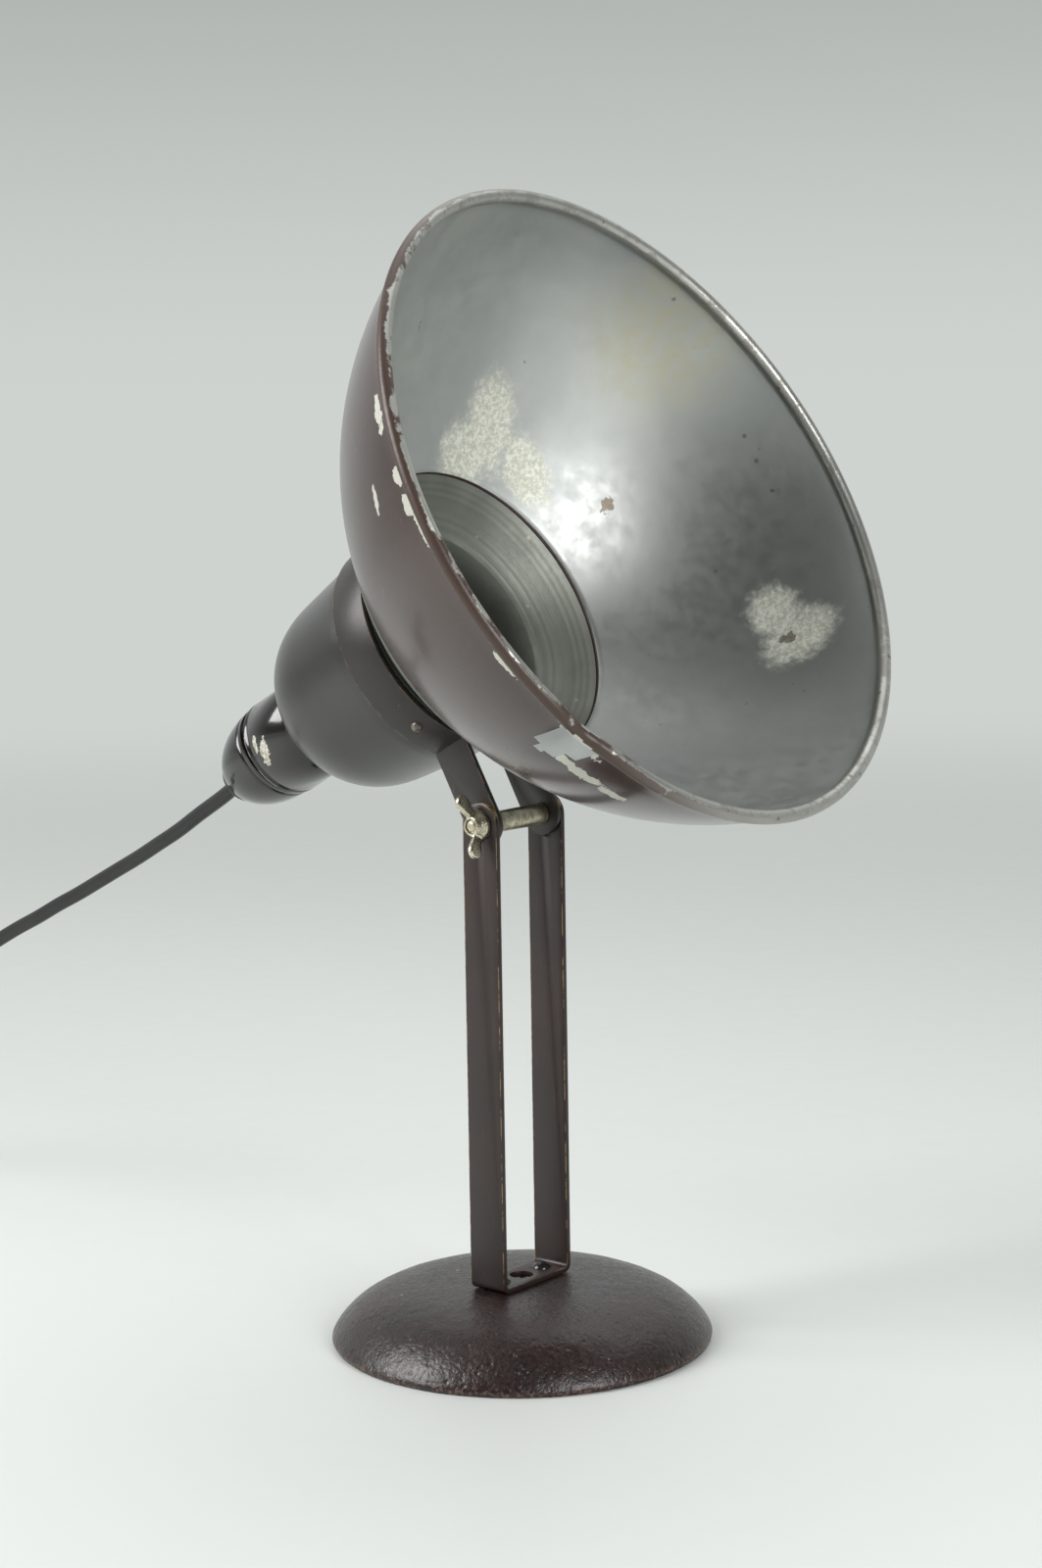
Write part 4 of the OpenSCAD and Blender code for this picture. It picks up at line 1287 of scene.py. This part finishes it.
def makeBolt():
    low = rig.box("pivot_bolt")[0]
    s = pivotSet
    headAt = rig.box("bolt_washer")[1].y / mm
    long = headAt - low.y / mm
    profile = [(0, 0), (s["boltRadius"], 0), (s["boltRadius"], 34)]
    thread = threadProfile(s["boltRadius"], -34, -long + 0.6, s["threadPitch"], s["threadDepth"])
    profile += [(r, -z) for r, z in thread]
    profile += [(s["boltRadius"] - 0.7, long), (0, long)]
    shank = lathe("pivotBolt", profile, 40, looped=False)
    deselectAll()
    height = s["headHeight"]
    bpy.ops.mesh.primitive_cylinder_add(vertices=6, radius=s["headFlats"] / math.sqrt(3) * mm,
                                        depth=height * mm, location=(0, 0, -height / 2 * mm))
    head = bpy.context.object
    bpy.ops.object.mode_set(mode="EDIT")
    bpy.ops.mesh.select_mode(type="FACE")
    bpy.ops.mesh.select_all(action="DESELECT")
    shape = bmesh.from_edit_mesh(head.data)
    for face in shape.faces:
        face.select = face.normal.z < -0.9
    bmesh.update_edit_mesh(head.data)
    bpy.ops.mesh.inset(thickness=0.5 * mm, depth=0.35 * mm)
    bpy.ops.object.mode_set(mode="OBJECT")
    settle(head, (0, 0, -height / 2))
    bolt = joinAll([shank, head], "pivotBolt")
    softenEdges(bolt, 0.12, 1, 50)
    settle(bolt, (0, headAt, pivot.z / mm), (math.radians(90), 0, 0))
    return bolt


def makeSpacer():
    low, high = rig.box("spacer_tube")
    radius, half = (high.z - low.z) / 2 / mm, high.y / mm
    hole = pivotSet["boltRadius"] + 0.1
    profile = [(hole, -half), (radius - 0.3, -half), (radius, 0.35 - half), (radius, half - 0.35),
               (radius - 0.3, half), (hole, half)]
    tube = lathe("spacerTube", profile, 48)
    settle(tube, (0, 0, pivot.z / mm), (math.radians(90), 0, 0))
    return tube


def makeWingNut():
    s = pivotSet
    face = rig.box("wing_nut")[1].y / mm
    hub = lathe("wingNut", [(0, 0), (s["bossFoot"], 0), (s["bossFoot"] - 0.1, 0.9), (s["bossTop"] + 0.5, 2.6),
                            (s["bossTop"], s["bossHeight"] - 0.3), (s["bossTop"] - 0.4, s["bossHeight"]),
                            (0, s["bossHeight"])], 40, looped=False)
    tip, lift, radius = s["span"] / 2 - s["tipRadius"], 5.4, s["tipRadius"]
    outline = [(0.5, 0.6), (s["bossFoot"] - 0.6, 0.6), (tip + 1.2, lift - 2.7)]
    outline += arc((tip, lift), radius, -60, 140, 12) + [(s["bossTop"] - 0.4, s["bossHeight"] - 0.2),
                                                      (0.5, s["bossHeight"] - 0.2)]
    for side in (-1, 1):
        ear = plate("ear", [(side * u, v) for u, v in outline], s["wingThickness"], "XZ")
        softenEdges(ear, 0.6, 3, 30)
        fuse(hub, ear)
    addModifier(hub, "REMESH", mode="VOXEL", voxel_size=0.3 * mm)
    addModifier(hub, "SMOOTH", factor=0.5, iterations=5)
    cutAway(hub, rod(s["boltRadius"] + 0.1, 20, (0, 0, 0), sides=40))
    settle(hub, (0, 0, 0), (0, 0, math.radians(90 + s["wingTurn"])))
    settle(hub, (0, face, pivot.z / mm), (math.radians(90), 0, 0))
    return hub


finishPiece(makeBolt(), "stand", "pivot_steel", ["pivot_bolt"],
            stainedMetal("pivotSteel", (184, 176, 152), (116, 102, 76), 0.32, 0.9, 0.5))
finishPiece(makeSpacer(), "head", "tube_zinc", ["spacer_tube"],
            stainedMetal("tubeZinc", (188, 183, 160), (122, 110, 80), 0.3, 0.9, 0.65, 190.0))
finishPiece(makeWingNut(), "wing", "wing_zinc", ["wing_nut"],
            stainedMetal("wingZinc", (202, 196, 174), (118, 104, 76), 0.24, 0.95, 0.45, 110.0), 60)
print("pivot is made")


# The yoke
yokeSet = {
    "ringRadius": 43,
    "thickness": 2,
    "width": 16,
    "reach": 73.2,
    "legY": 17.9,
    "screwTurn": 44,
    "screwHead": 2.3,
    "screwHeight": 1.6,
    "slot": 0.8,
}


def makeYoke():
    s = yokeSet
    out = s["ringRadius"] + s["thickness"]
    cut = math.degrees(math.asin(s["legY"] / out))
    ring = arc((0, 0), out, cut, 360 - cut, 110)
    line = [(s["reach"], s["legY"], 0)] + [(x, y, 0) for x, y in ring] + [(s["reach"], -s["legY"], 0)]
    yoke = ribbon("yokeStrip", line, s["width"], (0, 0, 1))
    for side in (-1, 1):
        selectEdge(yoke, lambda p, side=side: p.x > s["reach"] - 0.01 and p.y * side > 0)
        roundEnd((s["reach"], side * s["legY"], 0), (0, 0, 1), (1, 0, 0), s["width"] / 2)
        bpy.ops.object.mode_set(mode="OBJECT")
    bpy.ops.object.mode_set(mode="EDIT")
    closeMesh()
    addModifier(yoke, "SOLIDIFY", thickness=s["thickness"] * mm, offset=-1)
    cutAway(yoke, rod(2.6, 60, (s["reach"], 0, 0), (math.radians(90), 0, 0)))
    softenEdges(yoke, 0.28, 2, 40)
    return intoHead(yoke)


def makeYokeScrews():
    s = yokeSet
    out = s["ringRadius"] + s["thickness"]
    profile = domeProfile(s["screwHead"], s["screwHeight"]) + [(1.5, -0.03), (1.5, -3)]
    profile += threadProfile(1.5, -3, -9.7, 0.5, 0.28) + [(0, -9.7)]
    screw = lathe("yokeScrews", profile, 32, looped=False)
    cutAway(screw, block((2 * s["screwHead"] + 1, s["slot"], 1.4), (0, 0, s["screwHeight"]),
                         (0, 0, math.radians(20))))
    softenEdges(screw, 0.08, 2, 50)
    placed = []
    for side in (-1, 1):
        twin = copyOf(screw)
        settle(twin, (0, 0, 0), (0, math.radians(90), 0))
        settle(twin, (out, 0, 0))
        settle(twin, (0, 0, 0), (0, 0, math.radians(side * s["screwTurn"])))
        placed.append(twin)
    dropObject(screw)
    return intoHead(joinAll(placed, "yokeScrews"))


finishPiece(makeYoke(), "head", "yoke_paint", ["yoke_strap"],
            stripPaint("yokePaint", (34, 29, 26), (45, 39, 35), yokeMiddle, yokeSide, amount=0.5), 40)
finishPiece(makeYokeScrews(), "head", "yoke_screw_steel", ["yoke_screws"],
            stainedMetal("yokeScrewSteel", (112, 104, 94), (66, 54, 48), 0.36, 0.7, 0.6, 220.0))
print("yoke is bent")


# The bell and the collar
bellSet = {
    "radius": 42.95,
    "seat": -68.5,
    "middle": -37,
    "wide": -12,
    "front": 8.8,
    "wall": 1.2,
    "hole": 16.5,
    "taper": 0.12,
    "power": 2.6,
    "collarRadius": 41.7,
    "collarWall": 1.1,
    "collarBack": -8,
    "flareStart": 9.6,
}


def bellRadius(z, wall):
    s = bellSet
    t = min(1, max(0, (s["middle"] - z) / (s["middle"] - s["seat"] + 2.3 - wall)))
    return (s["radius"] - wall - s["taper"] * (s["wide"] - z)) * (1 - t ** s["power"]) ** (1 / s["power"])


def makeBell():
    s = bellSet
    seat, inSeat, steps = s["seat"], s["seat"] + s["wall"], 40

    def side(start, wall):
        return [(bellRadius(z, wall), z) for z in
                (start + (s["wide"] - start) * (i / steps) ** 1.5 for i in range(steps + 1))]
    outer = [(s["hole"], seat)] + side(seat, 0) + [(s["radius"], -4), (s["radius"], s["front"] - 0.3),
                                                   (s["radius"] - 0.3, s["front"])]
    inner = [(s["radius"] - s["wall"], s["front"])] + side(inSeat, s["wall"])[::-1] + [(s["hole"], inSeat)]
    return intoHead(lathe("bellHousing", outer + inner, 144))


reflectorSet = {
    "arcX": -14,
    "arcZ": 146,
    "curve": 140.7,
    "wall": 1.2,
    "hole": 57.6,
    "beadRadius": 2.5,
    "beadX": 122.5,
    "beadZ": 113.4,
    "flange": 66,
    "kinkTurn": -47.5,      # degrees round the rim
    "kinkDepth": 4.0,
    "kinkWidth": 6.5,
}


def bowlAngle(r, curve):
    return -math.degrees(math.acos((r - reflectorSet["arcX"]) / curve))


def makeCollar():
    s, bowl = bellSet, reflectorSet
    centre = (bowl["arcX"], bowl["arcZ"])
    back = bowl["curve"] + 0.05
    outside = back + s["collarWall"]
    inR = s["collarRadius"] - s["collarWall"]
    outR, flare = s["collarRadius"], s["flareStart"]
    profile = [(inR, s["collarBack"]), (outR, s["collarBack"]), (outR, flare), (outR + 0.8, flare + 1.4)]
    start, end = bowlAngle(bowl["hole"] + 1.2, outside), bowlAngle(bowl["flange"], outside)
    profile += arc(centre, outside, start, end, 5)
    profile += arc(centre, back, bowlAngle(bowl["flange"], back), bowlAngle(bowl["hole"], back), 5)
    start, end = Vector(profile[-1]), Vector((inR, s["flareStart"] - 0.6))
    for i in range(1, 11):
        t = i / 11
        ripple = 0.12 * math.sin(t * 10 * math.pi) - 0.9 * math.sin(t * math.pi) * 0.6
        point = start.lerp(end, t)
        profile.append((point.x + ripple * 0.6, point.y - ripple * 0.4))
    profile.append(tuple(end))
    return intoHead(lathe("neckCollar", profile, 128))


def makeReflector():
    s = reflectorSet
    centre = (s["arcX"], s["arcZ"])
    rim = (s["beadX"], s["beadZ"])
    start, end = bowlAngle(s["hole"], s["curve"]), bowlAngle(s["beadX"] - 1.1, s["curve"])
    outer = arc(centre, s["curve"], start, end, 44)
    outer = [p for p in outer if (Vector(p) - Vector(rim)).length > s["beadRadius"] + 0.05]
    thin = s["curve"] - s["wall"]
    inner = arc(centre, thin, bowlAngle(s["beadX"] - 1.1, thin), bowlAngle(s["hole"] + 0.1, thin), 44)
    inner = [p for p in inner if (Vector(p) - Vector(rim)).length > s["beadRadius"] + 0.05]
    joinOut = Vector(outer[-1]) - Vector(rim)
    joinIn = Vector(inner[0]) - Vector(rim)
    fromAngle = math.degrees(math.atan2(joinOut.y, joinOut.x)) + 12
    toAngle = math.degrees(math.atan2(joinIn.y, joinIn.x)) - 12
    if toAngle < fromAngle:
        toAngle += 360
    bead = arc(rim, s["beadRadius"], fromAngle, toAngle, 20)
    bowl = lathe("reflectorBowl", outer + bead + inner, 200)
    dentRim(bowl)
    for material in (reflectorPaint(), reflectorMetal(), rimMetal()):
        bowl.data.materials.append(material)
    for face in bowl.data.polygons:
        c = face.center / mm
        r = math.hypot(c.x, c.y)
        fromArc = math.hypot(r - s["arcX"], c.z - s["arcZ"])
        onBead = math.hypot(r - s["beadX"], c.z - s["beadZ"]) < s["beadRadius"] + 0.35
        face.material_index = 2 if onBead else (0 if fromArc > s["curve"] - s["wall"] * 0.6 else 1)
    return intoHead(bowl)


def dentRim(bowl):
    # a kink where the rim was once knocked, and a faint wave all round it
    s = reflectorSet
    for vertex in bowl.data.vertices:
        p = vertex.co / mm
        r = math.hypot(p.x, p.y)
        near = smoothStep((r - 98) / 24)
        if near <= 0:
            continue
        turn = math.degrees(math.atan2(p.y, p.x)) - s["kinkTurn"]
        turn = (turn + 180) % 360 - 180
        away = math.radians(turn) * r / s["kinkWidth"]
        dent = s["kinkDepth"] * near ** 3 * math.exp(-away * away)
        bulge = 0.5 * near * math.exp(-((away - 2.2) / 1.6) ** 2)
        wave = 0.35 * near * (math.sin(math.radians(turn) * 3 + 0.6) - 1)
        inward = (dent * 0.7 + bulge - wave * 0.3) / r
        vertex.co = Vector((p.x * (1 - inward), p.y * (1 - inward), p.z - dent * 0.75 + wave)) * mm


finishPiece(makeBell(), "head", "bell_paint", ["bell_housing"], bellPaint(), 40)
finishPiece(makeCollar(), "head", "collar_alloy", ["neck_collar"], collarAlloy(), 50)
reflector = makeReflector()
smoothBy(reflector, 60)
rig.ride(reflector, "head")
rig.replaces(reflector, "reflector")
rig.slot(reflector, "reflector_shell")
print("reflector is spun")


# The lampholder: cover, cap and bushing outside, ceramic and brass inside
holderSet = {
    "coverRadius": 20,
    "coverWall": 1,
    "coverFront": -94,
    "capRadius": 19.5,
    "capLength": 24,
    "capCurve": 29,
    "capDroop": 4.5,
    "bushingRadius": 9.2,
    "bushingLength": 3.7,
    "cordHole": 3.15,
    "shellRadius": 13.3,
    "shellPitch": 3.63,
    "shellBack": -73,
    "mouth": -45,
    "bodyRadius": 16.2,
    "bodyBack": -88,
    "bore": 13.9,
}


def makeCover():
    s, seat = holderSet, bellSet["seat"]
    r, w, front = s["coverRadius"], s["coverWall"], s["coverFront"]
    outer = [(r - w, front), (r - 0.4, front), (r, front + 0.35), (r, front + 1.6), (r - 0.28, front + 2.0),
             (r - 0.28, front + 2.5), (r, front + 2.9), (r, seat - 3)]
    outer += [(r - 0.4, seat - 2.2), (r - 0.15, seat - 0.5), (r - 0.5, seat)]
    inner = [(bellSet["hole"], seat), (bellSet["hole"], seat - w), (r - w, seat - w)]
    return intoHead(lathe("socketCover", outer + inner, 96))


def intoCap(piece):
    # the cap droops a little where it meets the cover
    s = holderSet
    droop = math.radians(s["capDroop"])
    setBack = s["capRadius"] * math.sin(droop)
    settle(piece, (0, 0, -s["coverFront"]))
    settle(piece, (0, 0, s["coverFront"] - setBack), (0, -droop, 0))
    return intoHead(piece)


def makeCap():
    s = holderSet
    front = s["coverFront"]
    back = front - s["capLength"]
    outer = []
    for i in range(33):
        z = back + s["capLength"] * i / 32
        r = s["capRadius"] * math.sqrt(max(0, 1 - ((front - z) / s["capCurve"]) ** 2))
        if 2.0 < front - z < 3.0:
            r -= 0.35
        outer.append((r, z))
    spigot = s["coverRadius"] - s["coverWall"] - 0.5
    profile = [(s["cordHole"] + 2.5, back)] + outer
    profile += [(spigot, front), (spigot, front + 4), (spigot - 2.2, front + 4)]
    for i in range(17):
        z = front - (s["capLength"] - 2.2) * i / 16
        inside = math.sqrt(max(0, 1 - ((front - z) / (s["capCurve"] - 2.2)) ** 2))
        profile.append(((spigot - 2.2) * inside, z))
    profile.append((s["cordHole"] + 2.5, back + 2.2))
    return intoCap(lathe("socketCap", profile, 96))


def makeBushing():
    s = holderSet
    back = s["coverFront"] - s["capLength"]
    end = back - s["bushingLength"]
    r = s["bushingRadius"]
    profile = [(s["cordHole"], end + 0.3), (s["cordHole"] + 0.5, end), (r - 1.7, end), (r - 0.8, end + 0.35),
               (r - 0.1, end + 1.2), (r, end + 2.2), (r - 0.35, end + 2.6), (r, end + 3.0), (r, back),
               (s["cordHole"] + 2.4, back), (s["cordHole"] + 2.4, back + 3.2), (s["cordHole"], back + 3.2)]
    return intoCap(lathe("cordBushing", profile, 64))


def makeHolderBody():
    s = holderSet
    r, mouth, back = s["bodyRadius"], s["mouth"], s["bodyBack"]
    profile = [(r - 0.8, back), (r, back + 0.8), (r, -64), (r - 0.9, -63.2), (r - 0.9, -50.5), (r, -49.7),
               (r, mouth - 0.8), (r - 0.7, mouth), (s["bore"] + 0.5, mouth), (s["bore"], mouth - 0.6),
               (s["bore"], s["shellBack"] - 3), (0.8, s["shellBack"] - 3), (0.8, back)]
    return intoHead(lathe("lampholderBody", profile, 80))


def makeShell():
    # the rolled thread that the lamp screws into
    s = holderSet
    turns = 7
    low, rise = s["shellBack"] + 0.4, s["shellPitch"]
    line = []
    for i in range(9):
        z = rise * i / 8
        r = s["shellRadius"] + 0.22 + 0.2 * math.cos(fullTurn * i / 8)
        line.append((r, 0, low + z * 0.985))
    piece = traceLine("screwShell", line)
    bpy.ops.object.mode_set(mode="OBJECT")
    addModifier(piece, "SCREW", screw_offset=rise * mm, iterations=turns - 1, steps=48, render_steps=48,
                angle=fullTurn, use_merge_vertices=True, merge_threshold=0.02 * mm)
    addModifier(piece, "SOLIDIFY", thickness=0.12 * mm, offset=0)
    activate(piece)
    bpy.ops.object.mode_set(mode="EDIT")
    closeMesh()
    return intoHead(piece)


finishPiece(makeCover(), "head", "cover_enamel", ["socket_cover"], coverEnamel(), 40)
finishPiece(makeCap(), "head", "cap_bakelite", ["socket_cap"],
            mouldedBlack("capBakelite", (24, 21, 21), 0.15, 1500.0, 0.5, 0.3), 40)
finishPiece(makeBushing(), "head", "bushing_black", ["cord_bushing"],
            mouldedBlack("bushingBlack", (20, 19, 19), 0.28, 1500.0), 40)
finishPiece(makeHolderBody(), "head", "holder_ceramic", ["lampholder_body"], glazedCeramic(), 40)
finishPiece(makeShell(), "head", "holder_brass", ["screw_shell"],
            stainedMetal("shellBrass", (206, 172, 96), (136, 104, 52), 0.3, 1.0, 0.45), 40)


def dressNode(name, material):
    # a CAD part that keeps its own shape
    mesh = frame["nodes"][name].data
    mesh.materials.clear()
    mesh.materials.append(material)
    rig.slot(frame["nodes"][name], slotOf[name])


slotOf = {
    "stand_washers": "plated_steel", "stand_nuts": "plated_steel", "yoke_nuts": "plated_steel",
    "retaining_ring": "plated_steel", "bolt_washer": "pivot_steel", "clamp_washer": "pivot_steel",
    "cord_grip": "plated_steel", "centre_contact": "holder_brass", "shell_contact": "holder_brass",
    "terminal_screws": "holder_brass", "lead_wires": "lead_plastic", "cord_inner": "cord_black",
}
platedSteel = stainedMetal("platedSteel", (170, 168, 158), (112, 98, 78), 0.36, 0.9, 0.5)
washerSteel = stainedMetal("washerSteel", (128, 118, 104), (70, 54, 46), 0.36, 0.85, 0.6)
brass = stainedMetal("brass", (204, 170, 98), (130, 100, 52), 0.32, 1.0, 0.4)
leadPlastic = mouldedBlack("leadPlastic", (92, 62, 42), 0.45)
for nodeName, slotName in slotOf.items():
    finish = {"plated_steel": platedSteel, "pivot_steel": washerSteel, "holder_brass": brass,
              "lead_plastic": leadPlastic, "cord_black": cordFinish}[slotName]
    dressNode(nodeName, finish)
print("lampholder is made")


# Floor, sky and lamps
stageSet = {
    "floorRadius": 9,
    "fadeFrom": 0.45,
    "fadeTo": 2.4,
    "sky": (206, 211, 208),
    "skyTop": (170, 175, 170),
    "floor": (218, 221, 218),
    "skyLight": (0.12, 0.7),     # in front of the lamp and behind it
}
lampSet = [
    # name, place, size, power: all aim at the middle of the lamp
    ("leftSoftbox", (-0.95, -1.1, 1.1), (1.0, 1.0), 30),
    ("rightSoftbox", (1.5, -0.35, 0.75), (0.6, 0.8), 16),
    ("topSoftbox", (-0.1, 0.5, 1.7), (1.6, 1.4), 9),
]


def makeFloor():
    deselectAll()
    bpy.ops.mesh.primitive_circle_add(vertices=96, radius=stageSet["floorRadius"], fill_type="NGON")
    floor = bpy.context.object
    floor.name = "floor"
    material, tree, surface, coords = newMaterial("floorSheet", 0.42)
    surface.inputs["Base Color"].default_value = srgb(*stageSet["floor"])
    surface.inputs["Specular IOR Level"].default_value = 0.35
    fine = noise(tree, coords, 60, 3)
    wire(tree, ramp(tree, fine, 0.3, 0.7, 0.4, 0.5), surface.inputs["Roughness"])
    far = ramp(tree, vectorMaths(tree, "LENGTH", coords), stageSet["fadeFrom"], stageSet["fadeTo"])
    glow = newNode(tree, "ShaderNodeEmission")
    glow.inputs["Color"].default_value = srgb(*stageSet["sky"])
    mix = newNode(tree, "ShaderNodeMixShader")
    wire(tree, far, mix.inputs[0])
    wire(tree, surface.outputs[0], mix.inputs[1])
    wire(tree, glow.outputs[0], mix.inputs[2])
    wire(tree, mix.outputs[0], tree.nodes["Material Output"].inputs["Surface"])
    floor.data.materials.append(material)
    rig.stage(floor)


def makeSky():
    world = bpy.data.worlds.new("studio")
    bpy.context.scene.world = world
    world.use_nodes = True
    tree = world.node_tree
    out = tree.nodes["World Output"]
    tree.nodes.remove(tree.nodes["Background"])
    height = apart(tree, newNode(tree, "ShaderNodeTexCoord").outputs["Generated"])["Z"]
    shade = ramp(tree, height, 0.0, 0.2)
    seen = newNode(tree, "ShaderNodeBackground")
    sky = mixColour(tree, shade, srgb(*stageSet["sky"]), srgb(*stageSet["skyTop"]))
    wire(tree, sky, seen.inputs["Color"])
    light = newNode(tree, "ShaderNodeBackground")
    light.inputs["Color"].default_value = (0.93, 0.97, 0.96, 1)
    towards = vectorMaths(tree, "DOT_PRODUCT", newNode(tree, "ShaderNodeTexCoord").outputs["Generated"],
                          (-0.63, 0.77, 0))
    wire(tree, ramp(tree, towards, -0.2, 0.8, *stageSet["skyLight"]), light.inputs["Strength"])
    path = newNode(tree, "ShaderNodeLightPath")
    mix = newNode(tree, "ShaderNodeMixShader")
    wire(tree, path.outputs["Is Camera Ray"], mix.inputs[0])
    wire(tree, light.outputs[0], mix.inputs[1])
    wire(tree, seen.outputs[0], mix.inputs[2])
    wire(tree, mix.outputs[0], out.inputs["Surface"])


def makeLamps():
    aim = Vector((0, 0, 0.22))
    for name, place, size, power in lampSet:
        deselectAll()
        bpy.ops.object.light_add(type="AREA", location=place)
        lamp = bpy.context.object
        lamp.name = name
        lamp.data.shape = "RECTANGLE"
        lamp.data.size, lamp.data.size_y = size
        lamp.data.energy = power
        lamp.rotation_euler = (Vector(place) - aim).to_track_quat("Z", "Y").to_euler()


makeFloor()
makeSky()
makeLamps()
scene = bpy.context.scene
scene.view_settings.view_transform = "Standard"
print("studio is lit")

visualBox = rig.bounds()
with open("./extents.json", "w") as sizeFile:
    json.dump({"cad": [list(c) for c in cadBox], "visual": [list(c) for c in visualBox]}, sizeFile)
